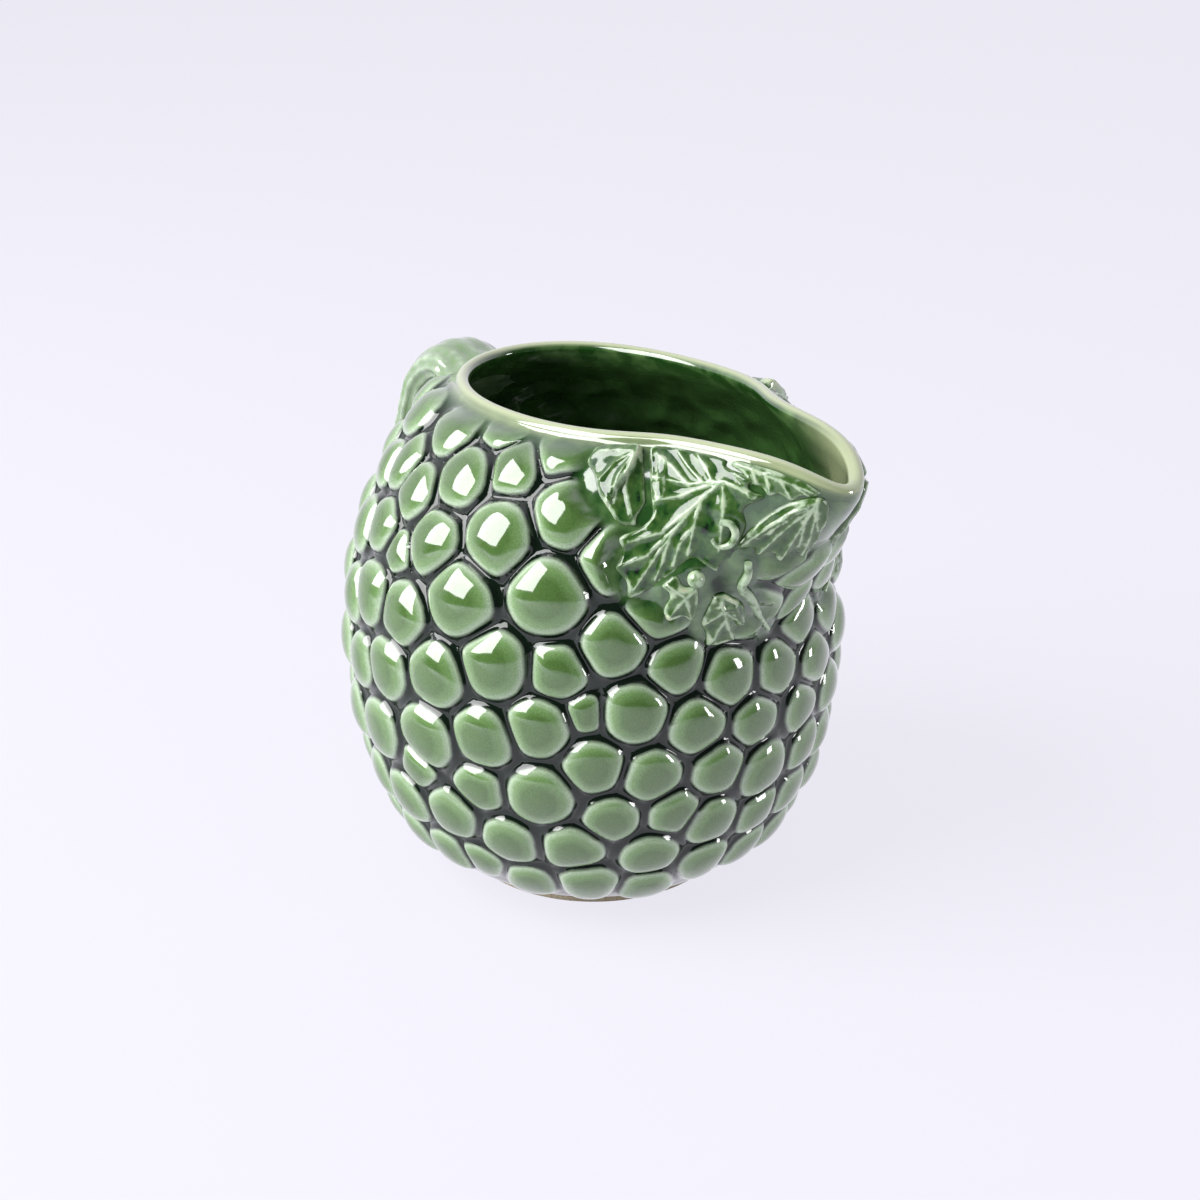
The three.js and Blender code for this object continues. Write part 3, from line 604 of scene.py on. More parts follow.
def wall_faces(wall, places):
    """Triangles between the places, found on a flat ring where the foot is the inner edge."""
    levels = np.linspace(0, LIP_LEVEL, 201)
    line = wall.point(-90.0, levels)
    step = np.linalg.norm(np.diff(line, axis=0), axis=1)
    around = np.hypot(line[1:, 0], line[1:, 1])
    run = np.concatenate([[0], np.cumsum(step / around)])
    radius = np.exp(np.interp(places[:, 1], levels, run))
    turn = np.radians(places[:, 0])
    flat = [Vector(pair) for pair in np.stack([radius * np.cos(turn), radius * np.sin(turn)], -1).tolist()]
    _, _, faces, origins, _, _ = delaunay_2d_cdt(flat, [], [], 0, 1e-7)
    number = [origin[0] for origin in origins]
    named = [[number[i] for i in face] for face in faces]
    return [face[::-1] for face in named if not all(i < COLUMNS for i in face)]


def ring_faces(rings):
    """Faces between rings of corners. A ring of one corner is a pole."""
    faces = []
    for low, high in zip(rings, rings[1:]):
        for k in range(max(len(low), len(high))):
            corners = [low[k % len(low)], low[(k + 1) % len(low)],
                       high[(k + 1) % len(high)], high[k % len(high)]]
            faces.append(list(dict.fromkeys(corners)))
    return faces


def new_mesh(name, points, faces, values=None):
    """A mesh object from points in millimetres, with named values on its corners."""
    mesh = bpy.data.meshes.new(name)
    mesh.from_pydata((np.asarray(points) * METRE).tolist(), [], faces)
    for key, data in (values or {}).items():
        data = np.asarray(data, float)
        kind = "FLOAT_VECTOR" if data.ndim == 2 else "FLOAT"
        layer = mesh.attributes.new(key, kind, "POINT")
        layer.data.foreach_set("vector" if data.ndim == 2 else "value", data.ravel())
    mesh.shade_smooth()
    obj = bpy.data.objects.new(name, mesh)
    bpy.context.scene.collection.objects.link(obj)
    return obj


def finish_piece(obj, material, *nodes):
    """Gives a piece its material, hangs it under the root body and hides the imported nodes that it stands
    for.
    """
    obj.data.materials.clear()
    obj.data.materials.append(material)
    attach(obj, "root")
    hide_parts(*nodes)


def grown(obj, tree, values, name):
    """The plain mesh that a Geometry Nodes tree makes of an object."""
    modifier = obj.modifiers.new(tree.name, "NODES")
    modifier.node_group = tree
    inputs = {item.name: item.identifier for item in tree.interface.items_tree
              if item.item_type == "SOCKET" and item.in_out == "INPUT"}
    for key, value in values.items():
        modifier[inputs[key]] = value
    graph = bpy.context.evaluated_depsgraph_get()
    mesh = bpy.data.meshes.new_from_object(obj.evaluated_get(graph))
    obj.modifiers.remove(modifier)
    mesh.name = name
    mesh.shade_smooth()
    made = bpy.data.objects.new(name, mesh)
    bpy.context.scene.collection.objects.link(made)
    bpy.data.objects.remove(obj)
    return made


def new_tree(name, sockets):
    """A Geometry Nodes tree with a geometry input and output and the named inputs."""
    tree = bpy.data.node_groups.new(name, "GeometryNodeTree")
    tree.interface.new_socket("Geometry", in_out="OUTPUT", socket_type="NodeSocketGeometry")
    tree.interface.new_socket("Geometry", in_out="INPUT", socket_type="NodeSocketGeometry")
    for key, kind in sockets.items():
        tree.interface.new_socket(key, in_out="INPUT", socket_type=kind)
    return tree


def repeat_zone(tree, geometry, count, places, fields):
    """A zone that works once on a geometry for each place. Gives the zone's two ends and, of the place
    whose turn it is, the fields."""
    first = tree.nodes.new("GeometryNodeRepeatInput")
    last = tree.nodes.new("GeometryNodeRepeatOutput")
    first.pair_with_output(last)
    tree.links.new(count, first.inputs["Iterations"])
    tree.links.new(geometry.outputs[0], first.inputs["Geometry"])
    sampled = [
        add_node(tree, "GeometryNodeSampleIndex",
                 {"Geometry": places.outputs["Geometry"], "Value": field,
                  "Index": first.outputs["Iteration"]}, data_type=kind)
        for field, kind in fields
    ]
    return first, last, sampled


def nearness_to(tree, wall, middle, size):
    """A grape's radius squared, and the distance squared from its middle less that."""
    distance = add_node(tree, "ShaderNodeVectorMath", {0: wall, 1: middle}, operation="DISTANCE")
    squared = maths(tree, "POWER", distance.outputs["Value"], 2.0)
    less = maths(tree, "POWER", size, 2.0)
    return less, maths(tree, "SUBTRACT", squared, less)


def relief_tree():
    """Raises a dome over every grape and a flat at every seat, as the plaster mould did."""
    tree = new_tree("Grape relief", {
        "Grapes": "NodeSocketObject", "Grape Count": "NodeSocketInt",
        "Seats": "NodeSocketObject", "Seat Count": "NodeSocketInt",
        "Bulge": "NodeSocketFloat", "Dimple": "NodeSocketFloat", "Groove Share": "NodeSocketFloat",
        "Corner Power": "NodeSocketFloat", "Lonely Share": "NodeSocketFloat",
        "Groove Fillet": "NodeSocketFloat", "Seat Fade": "NodeSocketFloat",
        "Material": "NodeSocketMaterial",
    })
    start = add_node(tree, "NodeGroupInput")
    grapes = add_node(tree, "GeometryNodeObjectInfo", {"Object": start.outputs["Grapes"]})
    seats = add_node(tree, "GeometryNodeObjectInfo", {"Object": start.outputs["Seats"]})
    place = add_node(tree, "GeometryNodeInputPosition")
    wall, outward, own_middle = (
        add_node(tree, "GeometryNodeInputNamedAttribute", {"Name": name}, data_type="FLOAT_VECTOR")
        for name in ("wall", "outward", "own_middle")
    )
    radius, height, near, own_radius, total, edge, relief, seat, raised, dimpled = (
        add_node(tree, "GeometryNodeInputNamedAttribute", {"Name": name}, data_type="FLOAT")
        for name in ("radius", "height", "near", "own_radius", "total", "reach", "relief", "seat", "raised",
                     "dimpled")
    )

    # The nearest grape of every corner, by its distance squared less the grape's radius squared
    far = stored(tree, start, "near", 1.0)
    grape = [(place, "FLOAT_VECTOR"), (radius, "FLOAT")]
    first, last, (middle, size) = repeat_zone(tree, far, start.outputs["Grape Count"], grapes, grape)
    _, nearness = nearness_to(tree, wall, middle, size)
    nearer = add_node(tree, "FunctionNodeCompare", {0: nearness, 1: near}, data_type="FLOAT",
                      operation="LESS_THAN")
    keep_middle = stored(tree, first.outputs["Geometry"], "own_middle", middle, kind="FLOAT_VECTOR",
                         chosen=nearer)
    keep_radius = stored(tree, keep_middle, "own_radius", size, chosen=nearer)
    keep_near = stored(tree, keep_radius, "near", nearness, chosen=nearer)
    tree.links.new(keep_near.outputs[0], last.inputs["Geometry"])

    # How near every corner is to the edge of its grape, where the neighbours press on it
    zero = stored(tree, last.outputs["Geometry"], "total", 0.0)
    first, rest, (middle, size) = repeat_zone(tree, zero, start.outputs["Grape Count"], grapes, grape)
    less, nearness = nearness_to(tree, wall, middle, size)
    apart = add_node(tree, "ShaderNodeVectorMath", {0: own_middle, 1: middle}, operation="DISTANCE")
    other = maths(tree, "GREATER_THAN", apart.outputs["Value"], 1e-6)
    apart_squared = maths(tree, "POWER", apart.outputs["Value"], 2.0)
    own_squared = maths(tree, "POWER", own_radius, 2.0)
    span = maths(tree, "SUBTRACT", apart_squared, less)
    span = maths(tree, "ADD", span, own_squared)
    further = maths(tree, "SUBTRACT", nearness, near)
    part = maths(tree, "DIVIDE", further, span)
    share = maths(tree, "SUBTRACT", 1.0, part)
    share = maths(tree, "MAXIMUM", share, 0.0)
    share = maths(tree, "MULTIPLY", share, other)
    press = maths(tree, "POWER", share, start.outputs["Corner Power"])
    grow = maths(tree, "ADD", total, press)
    keep_total = stored(tree, first.outputs["Geometry"], "total", grow)
    tree.links.new(keep_total.outputs[0], rest.inputs["Geometry"])
    away = add_node(tree, "ShaderNodeVectorMath", {0: wall, 1: own_middle}, operation="DISTANCE")
    alone = maths(tree, "MULTIPLY", own_radius, start.outputs["Lonely Share"])
    away = maths(tree, "DIVIDE", away.outputs["Value"], alone)
    away = maths(tree, "POWER", away, start.outputs["Corner Power"])
    away = maths(tree, "ADD", total, away)
    root = maths(tree, "DIVIDE", 1.0, start.outputs["Corner Power"])
    away = maths(tree, "POWER", away, root)
    away = maths(tree, "MULTIPLY", away, start.outputs["Groove Share"])
    edged = stored(tree, rest.outputs["Geometry"], "reach", away)

    # The dome's height, with a fillet of glaze in the groove
    square = maths(tree, "POWER", edge, 2.0)
    left = maths(tree, "SUBTRACT", 1.0, square)
    soft = maths(tree, "MULTIPLY", left, left)
    fillet = maths(tree, "MULTIPLY_ADD", start.outputs["Groove Fillet"], start.outputs["Groove Fillet"],
                   soft)
    fillet = maths(tree, "SQRT", fillet)
    fillet = maths(tree, "ADD", fillet, left)
    fillet = maths(tree, "MULTIPLY", fillet, 0.5)
    fillet = maths(tree, "SQRT", fillet)
    dome = maths(tree, "MULTIPLY", own_radius, start.outputs["Bulge"])
    dome = maths(tree, "MULTIPLY", dome, fillet)
    domed = stored(tree, edged, "relief", dome)

    # The seats of leaves, stems and handle, one after the other
    first, seated, (middle, size, flat) = repeat_zone(
        tree, domed, start.outputs["Seat Count"], seats, [*grape, (height, "FLOAT")])
    distance = add_node(tree, "ShaderNodeVectorMath", {0: wall, 1: middle}, operation="DISTANCE")
    outer = maths(tree, "ADD", size, start.outputs["Seat Fade"])
    clear = add_node(tree, "ShaderNodeMapRange",
                     {"Value": distance.outputs["Value"], "From Min": size, "From Max": outer},
                     interpolation_type="SMOOTHSTEP")
    mixed = add_node(tree, "ShaderNodeMix", {0: clear, 2: flat, 3: relief}, data_type="FLOAT")
    keep_relief = stored(tree, first.outputs["Geometry"], "relief", mixed)
    taken = maths(tree, "SUBTRACT", 1.0, clear)
    taken = maths(tree, "MAXIMUM", taken, seat)
    keep_seat = stored(tree, keep_relief, "seat", taken)
    tree.links.new(keep_seat.outputs[0], seated.inputs["Geometry"])

    # The outside moves out by the relief, and the inside follows it softly
    outside = maths(tree, "MULTIPLY", raised, relief)
    hollow = maths(tree, "MAXIMUM", left, 0.0)
    hollow = maths(tree, "MULTIPLY", hollow, dimpled)
    both = maths(tree, "MULTIPLY_ADD", hollow, start.outputs["Dimple"], outside)
    move = add_node(tree, "ShaderNodeVectorMath", {0: outward, "Scale": both}, operation="SCALE")
    moved = add_node(tree, "GeometryNodeSetPosition",
                     {"Geometry": seated.outputs["Geometry"], "Offset": move})
    real = add_node(tree, "GeometryNodeRealizeInstances", {"Geometry": moved})
    painted = add_node(tree, "GeometryNodeSetMaterial",
                       {"Geometry": real, "Material": start.outputs["Material"]})
    add_node(tree, "NodeGroupOutput", {"Geometry": painted})
    return tree


def branch_tree():
    """Sweeps an oval section along a line of points, with bark ridges that twist round it."""
    tree = new_tree("Branch", {
        "Sides": "NodeSocketInt", "Thickness": "NodeSocketFloat", "Width": "NodeSocketFloat",
        "Bark Depth": "NodeSocketFloat", "Bark Ridges": "NodeSocketFloat",
        "Bark Twist": "NodeSocketFloat", "Knot Depth": "NodeSocketFloat",
        "Material": "NodeSocketMaterial",
    })
    start = add_node(tree, "NodeGroupInput")
    line = add_node(tree, "GeometryNodeMeshToCurve", {"Mesh": start})
    place = add_node(tree, "GeometryNodeInputPosition")
    run = add_node(tree, "GeometryNodeSplineParameter")
    middle = stored(tree, line, "middle", place, kind="FLOAT_VECTOR")
    along = stored(tree, middle, "along", run.outputs["Factor"])
    circle = add_node(tree, "GeometryNodeCurvePrimitiveCircle",
                      {"Resolution": start.outputs["Sides"], "Radius": METRE})
    number = add_node(tree, "GeometryNodeInputIndex")
    turn = maths(tree, "DIVIDE", number, start.outputs["Sides"])
    turn = maths(tree, "MULTIPLY", turn, 2 * math.pi)
    section = stored(tree, circle, "turn", turn)
    tube = add_node(tree, "GeometryNodeCurveToMesh",
                    {"Curve": along, "Profile Curve": section, "Fill Caps": True})

    names = {}
    for name, kind in [("middle", "FLOAT_VECTOR"), ("outward", "FLOAT_VECTOR"),
                       ("sideways", "FLOAT_VECTOR"), ("along", "FLOAT"), ("turn", "FLOAT"),
                       ("swell", "FLOAT")]:
        names[name] = add_node(tree, "GeometryNodeInputNamedAttribute", {"Name": name}, data_type=kind)
    twist = maths(tree, "MULTIPLY", names["along"], start.outputs["Bark Twist"])
    ridge = maths(tree, "MULTIPLY_ADD", names["turn"], start.outputs["Bark Ridges"], twist)
    ridge = maths(tree, "COSINE", ridge)
    grain = add_node(tree, "ShaderNodeTexNoise",
                     {"Vector": place, "Scale": 140.0, "Detail": 2.0}, noise_dimensions="3D")
    grain = maths(tree, "SUBTRACT", grain, 0.5)
    rough = maths(tree, "MULTIPLY", grain, start.outputs["Knot Depth"])
    bark = maths(tree, "MULTIPLY_ADD", ridge, start.outputs["Bark Depth"], rough)
    bark = maths(tree, "ADD", bark, 1.0)
    bark = maths(tree, "MULTIPLY", bark, names["swell"])
    cosine = maths(tree, "COSINE", names["turn"])
    sine = maths(tree, "SINE", names["turn"])
    thick = maths(tree, "MULTIPLY", cosine, start.outputs["Thickness"])
    thick = maths(tree, "MULTIPLY", thick, bark)
    wide = maths(tree, "MULTIPLY", sine, start.outputs["Width"])
    wide = maths(tree, "MULTIPLY", wide, bark)
    out = add_node(tree, "ShaderNodeVectorMath", {0: names["outward"], "Scale": thick},
                   operation="SCALE")
    side = add_node(tree, "ShaderNodeVectorMath", {0: names["sideways"], "Scale": wide},
                    operation="SCALE")
    spot = add_node(tree, "ShaderNodeVectorMath", {0: names["middle"], 1: out}, operation="ADD")
    spot = add_node(tree, "ShaderNodeVectorMath", {0: spot, 1: side}, operation="ADD")
    moved = add_node(tree, "GeometryNodeSetPosition", {"Geometry": tube, "Position": spot})
    marked = stored(tree, moved, "ridge", ridge)
    real = add_node(tree, "GeometryNodeRealizeInstances", {"Geometry": marked})
    painted = add_node(tree, "GeometryNodeSetMaterial",
                       {"Geometry": real, "Material": start.outputs["Material"]})
    add_node(tree, "NodeGroupOutput", {"Geometry": painted})
    return tree


def new_material(name):
    """A material whose nodes are still to be added."""
    material = bpy.data.materials.new(name)
    material.use_nodes = True
    material.node_tree.nodes.clear()
    return material


def grape_glaze(colours):
    """Copper-green lead glaze over cast earthenware. It is thin and pale along the shoulders of the
    grapes, pools almost black in the grooves and fires to a hard gloss with fine speckle. Painted shade
    turns the gloss down in the grooves."""
    material = new_material("green majolica glaze on the grapes")
    tree = material.node_tree
    edge = add_node(tree, "ShaderNodeAttribute", attribute_name="reach")
    raised = add_node(tree, "ShaderNodeAttribute", attribute_name="raised")
    seat = add_node(tree, "ShaderNodeAttribute", attribute_name="seat")
    inner = add_node(tree, "ShaderNodeAttribute", attribute_name="inner")
    lip = add_node(tree, "ShaderNodeAttribute", attribute_name="lip")
    place = add_node(tree, "ShaderNodeTexCoord")
    # Speckle of iron in the clay, about 0.3 mm, and slow clouds in the glaze, about 8 mm
    speckle = add_node(tree, "ShaderNodeTexNoise",
                       {"Vector": place.outputs["Object"], "Scale": 3200.0, "Detail": 1.0})
    cloud = add_node(tree, "ShaderNodeTexNoise",
                     {"Vector": place.outputs["Object"], "Scale": 130.0, "Detail": 3.0})
    wander = maths(tree, "MULTIPLY_ADD", cloud, 0.12, edge.outputs["Fac"])
    wander = maths(tree, "SUBTRACT", wander, 0.06)
    ramp = add_node(tree, "ShaderNodeValToRGB", {"Fac": wander}, stops=[
        (0.0, colours.dome), (0.45, colours.dome), (0.72, colours.flank), (0.87, colours.thin),
        (0.955, colours.pooled),
    ])
    grains = add_node(tree, "ShaderNodeMapRange",
                      {"Value": speckle, "From Min": 0.35, "From Max": 0.65, "To Min": 0.8,
                       "To Max": 1.14})
    speckled = add_node(tree, "ShaderNodeVectorMath", {0: ramp, "Scale": grains}, operation="SCALE")
    smooth = maths(tree, "SUBTRACT", 1.0, raised.outputs["Fac"])
    smooth = maths(tree, "MAXIMUM", smooth, seat.outputs["Fac"])
    clouded = add_node(tree, "ShaderNodeValToRGB", {"Fac": cloud},
                       stops=[(0.45, colours.leaf), (0.85, colours.flank)])
    plain = add_node(tree, "ShaderNodeMix", {0: smooth, 6: speckled, 7: clouded}, data_type="RGBA")
    drift = add_node(tree, "ShaderNodeMapRange",
                     {"Value": cloud, "From Min": 0.3, "From Max": 0.7, "To Min": 0.7, "To Max": 1.6})
    wash = add_node(tree, "ShaderNodeVectorMath", {0: linear(colours.inside)[:3], "Scale": drift},
                    operation="SCALE")
    hollow = add_node(tree, "ShaderNodeMix",
                      {0: inner.outputs["Fac"], 6: plain.outputs[2], 7: wash}, data_type="RGBA")
    drained = add_node(tree, "ShaderNodeMix",
                       {0: lip.outputs["Fac"], 6: hollow.outputs[2], 7: linear(colours.lip)},
                       data_type="RGBA")
    # Painted shade: the gloss and the coat are turned down in the grooves, standing in for the shade
    # that the grooves' own walls cast on what they mirror
    gloss_with_painted_shade = add_node(tree, "ShaderNodeMapRange",
                        {"Value": wander, "From Min": 0.9, "From Max": 0.98, "To Min": 1.0, "To Max": 0.5})
    gloss_with_painted_shade = maths(tree, "MAXIMUM", gloss_with_painted_shade, smooth)
    gloss = maths(tree, "MULTIPLY", gloss_with_painted_shade, 0.5)
    shader = add_node(tree, "ShaderNodeBsdfPrincipled",
                      {"Base Color": drained.outputs[2], "Roughness": 0.1, "IOR": 1.6,
                       "Specular IOR Level": gloss, "Coat Weight": gloss_with_painted_shade, "Coat Roughness": 0.02,
                       "Coat IOR": 1.6})
    add_node(tree, "ShaderNodeOutputMaterial", {"Surface": shader})
    return material


def leaf_glaze(colours):
    """The same glaze over pressed leaves: deep where it pools between the veins, creamy on every ridge
    and edge, where it drained thin."""
    material = new_material("green majolica glaze on the leaves")
    tree = material.node_tree
    thin = add_node(tree, "ShaderNodeAttribute", attribute_name="thin")
    place = add_node(tree, "ShaderNodeTexCoord")
    cloud = add_node(tree, "ShaderNodeTexNoise",
                     {"Vector": place.outputs["Object"], "Scale": 400.0, "Detail": 3.0})
    wander = maths(tree, "MULTIPLY_ADD", cloud, 0.7, thin.outputs["Fac"])
    wander = maths(tree, "SUBTRACT", wander, 0.35)
    ramp = add_node(tree, "ShaderNodeValToRGB", {"Fac": wander}, stops=[
        (0.0, colours.pooled), (0.12, colours.leaf), (0.36, colours.dome), (0.54, colours.thin),
        (0.8, colours.vein),
    ])
    shader = add_node(tree, "ShaderNodeBsdfPrincipled",
                      {"Base Color": ramp, "Roughness": 0.12, "IOR": 1.6, "Coat Weight": 0.4,
                       "Coat Roughness": 0.02, "Coat IOR": 1.6})
    add_node(tree, "ShaderNodeOutputMaterial", {"Surface": shader})
    return material


def branch_glaze(colours):
    """The glaze over modelled bark: pale on the ridges, darker in the twisting furrows."""
    material = new_material("green majolica glaze on bark")
    tree = material.node_tree
    ridge = add_node(tree, "ShaderNodeAttribute", attribute_name="ridge")
    place = add_node(tree, "ShaderNodeTexCoord")
    cloud = add_node(tree, "ShaderNodeTexNoise",
                     {"Vector": place.outputs["Object"], "Scale": 260.0, "Detail": 4.0})
    mixed = maths(tree, "MULTIPLY_ADD", ridge.outputs["Fac"], 0.14, cloud)
    ramp = add_node(tree, "ShaderNodeValToRGB", {"Fac": mixed},
                    stops=[(0.2, colours.flank), (0.5, colours.bark), (0.8, colours.thin)])
    shader = add_node(tree, "ShaderNodeBsdfPrincipled",
                      {"Base Color": ramp, "Roughness": 0.12, "IOR": 1.6, "Coat Weight": 0.6,
                       "Coat Roughness": 0.04, "Coat IOR": 1.6})
    add_node(tree, "ShaderNodeOutputMaterial", {"Surface": shader})
    return material


def bare_clay(colours):
    """Fired earthenware wiped free of glaze so that it doesn't stick in the kiln: matt and faintly
    gritty."""
    material = new_material("bare fired earthenware")
    tree = material.node_tree
    place = add_node(tree, "ShaderNodeTexCoord")
    grit = add_node(tree, "ShaderNodeTexNoise",
                    {"Vector": place.outputs["Object"], "Scale": 1800.0, "Detail": 3.0})
    ramp = add_node(tree, "ShaderNodeValToRGB", {"Fac": grit},
                    stops=[(0.3, colours.grit), (0.65, colours.clay)])
    bump = add_node(tree, "ShaderNodeBump", {"Strength": 0.25, "Distance": 0.0001, "Height": grit})
    shader = add_node(tree, "ShaderNodeBsdfPrincipled",
                      {"Base Color": ramp, "Roughness": 0.85, "IOR": 1.5, "Normal": bump})
    add_node(tree, "ShaderNodeOutputMaterial", {"Surface": shader})
    return material


def jug_wall(sizes, colours):
    """The cast wall, its grapes, the lip, the inside and the floor, as one closed piece."""
    wall = Wall(sizes)
    angles, places = wall_places(wall)
    points = [wall.point(places[:, 0], places[:, 1])]
    faces = wall_faces(wall, places)
    total = len(places)
    outward = [wall.outward(places[:, 0], places[:, 1])]
    skin = smoothstep(places[:, 1], *FOOT_FADE) * (1 - smoothstep(places[:, 1], *LIP_FADE))
    raised, dimpled, inner = [skin], [np.zeros(total)], [np.zeros(total)]
    lip = [smoothstep(places[:, 1], DRAINED_LEVEL, LIP_LEVEL) * DRAINED_SHARE]
    base = [points[0]]
    zeros, ones = np.zeros(COLUMNS), np.ones(COLUMNS)

    def ring(where, direction, dimple, inside, on_lip, under=None):
        """Adds a ring of corners, and says which ones they are."""
        first = sum(len(group) for group in points)
        points.append(where)
        base.append(where if under is None else under)
        outward.append(direction)
        raised.append(np.zeros(len(where)))
        dimpled.append(dimple)
        inner.append(inside)
        lip.append(on_lip)
        return list(range(first, first + len(where)))

    mouth = wall.mouth_angle(angles)
    middle, across = wall.lip_middle(mouth), wall.lip_outward(mouth)
    rings = [list(range(COLUMNS, 2 * COLUMNS))]
    at_spout = np.exp(-(angles / SPILL_ANGLE) ** 4) * SPILL_SHARE
    for turn in np.linspace(0, math.pi, LIP_STEPS + 1)[1:]:
        roll = across * math.cos(turn) + np.array([0, 0, math.sin(turn)])
        crest = DRAINED_SHARE + (1 - DRAINED_SHARE) * smoothstep(turn, 0.3, 1.2)
        fade = np.maximum(crest * (1 - smoothstep(turn, 1.9, 2.7)), at_spout)
        rings.append(ring(middle + wall.lip_radius * roll, roll, zeros, zeros, fade))
    levels = np.linspace(THROAT_LEVEL, FLOOR_LEVEL, INNER_STEPS)
    for level in levels:
        where = wall.off(angles, level, -wall.thickness * ones)
        depth = smoothstep(level, *HOLLOW_FOOT_FADE) * (1 - smoothstep(level, *HOLLOW_LIP_FADE))
        spill = at_spout * smoothstep(level, *SPILL_FADE)
        rings.append(ring(where, wall.outward(angles, level * ones), ones * depth, ones, spill,
                          wall.point(angles, level)))
    turn = np.radians(angles)
    floor_top = FOOT_HEIGHT + wall.thickness
    up = np.array([[0.0, 0.0, 1.0]])
    for share in np.linspace(1, 0, FLOOR_STEPS, endpoint=False):
        radius, height = wall.foot * share, floor_top + FLOOR_HOLLOW * share ** 3
        where = np.stack([radius * np.cos(turn), radius * np.sin(turn), np.full(COLUMNS, height)], -1)
        rings.append(ring(where, np.repeat(up, COLUMNS, 0), zeros, ones, zeros))
    rings.append(ring(np.array([[0, 0, floor_top]]), up, zeros[:1], ones[:1], zeros[:1]))
    faces += ring_faces(rings)
    pole = ring(np.array([[0, 0, FOOT_HEIGHT]]), -up, zeros[:1], zeros[:1], zeros[:1])
    faces += ring_faces([pole, list(range(COLUMNS))])

    start = new_mesh("wall start", np.concatenate(points), faces, {
        "wall": np.concatenate(base) * METRE, "outward": np.concatenate(outward),
        "raised": np.concatenate(raised), "dimpled": np.concatenate(dimpled),
        "inner": np.concatenate(inner), "lip": np.concatenate(lip),
    })
    bunch, seats = whole_bunch(), whole_seats()
    grape_points = new_mesh("grape places", wall.point(bunch[:, 0], bunch[:, 1]), [],
                            {"radius": bunch[:, 2] * METRE})
    seat_points = new_mesh("seat places", wall.point(seats[:, 0], seats[:, 1]), [],
                           {"radius": seats[:, 2] * METRE, "height": seats[:, 3] * METRE})
    made = grown(start, relief_tree(), {
        "Grapes": grape_points, "Grape Count": len(bunch), "Seats": seat_points,
        "Seat Count": len(seats), "Bulge": sizes.bulge, "Dimple": sizes.dimple,
        "Groove Share": GROOVE_SHARE, "Corner Power": CORNER_POWER, "Lonely Share": LONELY_SHARE,
        "Groove Fillet": GROOVE_FILLET, "Seat Fade": SEAT_FADE * METRE,
    }, "jug_wall")
    for helper in (grape_points, seat_points):
        bpy.data.objects.remove(helper)
    finish_piece(made, grape_glaze(colours), "jug_body")


def edge_distance(points, outline):
    """Distance of each point from a closed outline."""
    starts, ends = outline, np.roll(outline, -1, 0)
    along = ends - starts
    offset = points[:, None, :] - starts
    share = np.clip((offset * along).sum(-1) / (along ** 2).sum(-1), 0, 1)
    return np.linalg.norm(offset - share[..., None] * along, axis=-1).min(1)


def line_distance(points, line):
    """Distance of each point from an open line, and how far along the line that is."""
    starts, ends = line[:-1], line[1:]
    along = ends - starts
    offset = points[:, None, :] - starts
    share = np.clip((offset * along).sum(-1) / (along ** 2).sum(-1), 0, 1)
    distances = np.linalg.norm(offset - share[..., None] * along, axis=-1)
    best = distances.argmin(1)
    rows = np.arange(len(points))
    return distances[rows, best], (best + share[rows, best]) / len(starts)


def within(points, outline):
    """Which points lie inside a closed outline."""
    x, y = points[:, 0, None], points[:, 1, None]
    x1, y1 = outline.T
    x2, y2 = np.roll(outline, -1, 0).T
    crosses = (y1 > y) != (y2 > y)
    with np.errstate(divide="ignore", invalid="ignore"):
        at = x1 + (y - y1) / (y2 - y1) * (x2 - x1)
    return (crosses & (x < at)).sum(1) % 2 == 1


def stepped(line, step, closed=False):
    """Points at even steps along a line."""
    line = np.vstack([line, line[:1]]) if closed else np.asarray(line, float)
    run = np.concatenate([[0], np.cumsum(np.linalg.norm(np.diff(line, axis=0), axis=1))])
    count = max(int(run[-1] / step), 2)
    shares = np.linspace(0, run[-1], count + 1)
    found = np.stack([np.interp(shares, run, line[:, i]) for i in (0, 1)], -1)
    return found[:-1] if closed else found


def rounded(outline, times=2):
    """An outline with its corners cut a little."""
    for _ in range(times):
        after = np.roll(outline, -1, 0)
        outline = np.stack([outline * 0.82 + after * 0.18, outline * 0.18 + after * 0.82], 1).reshape(-1, 2)
    return outline


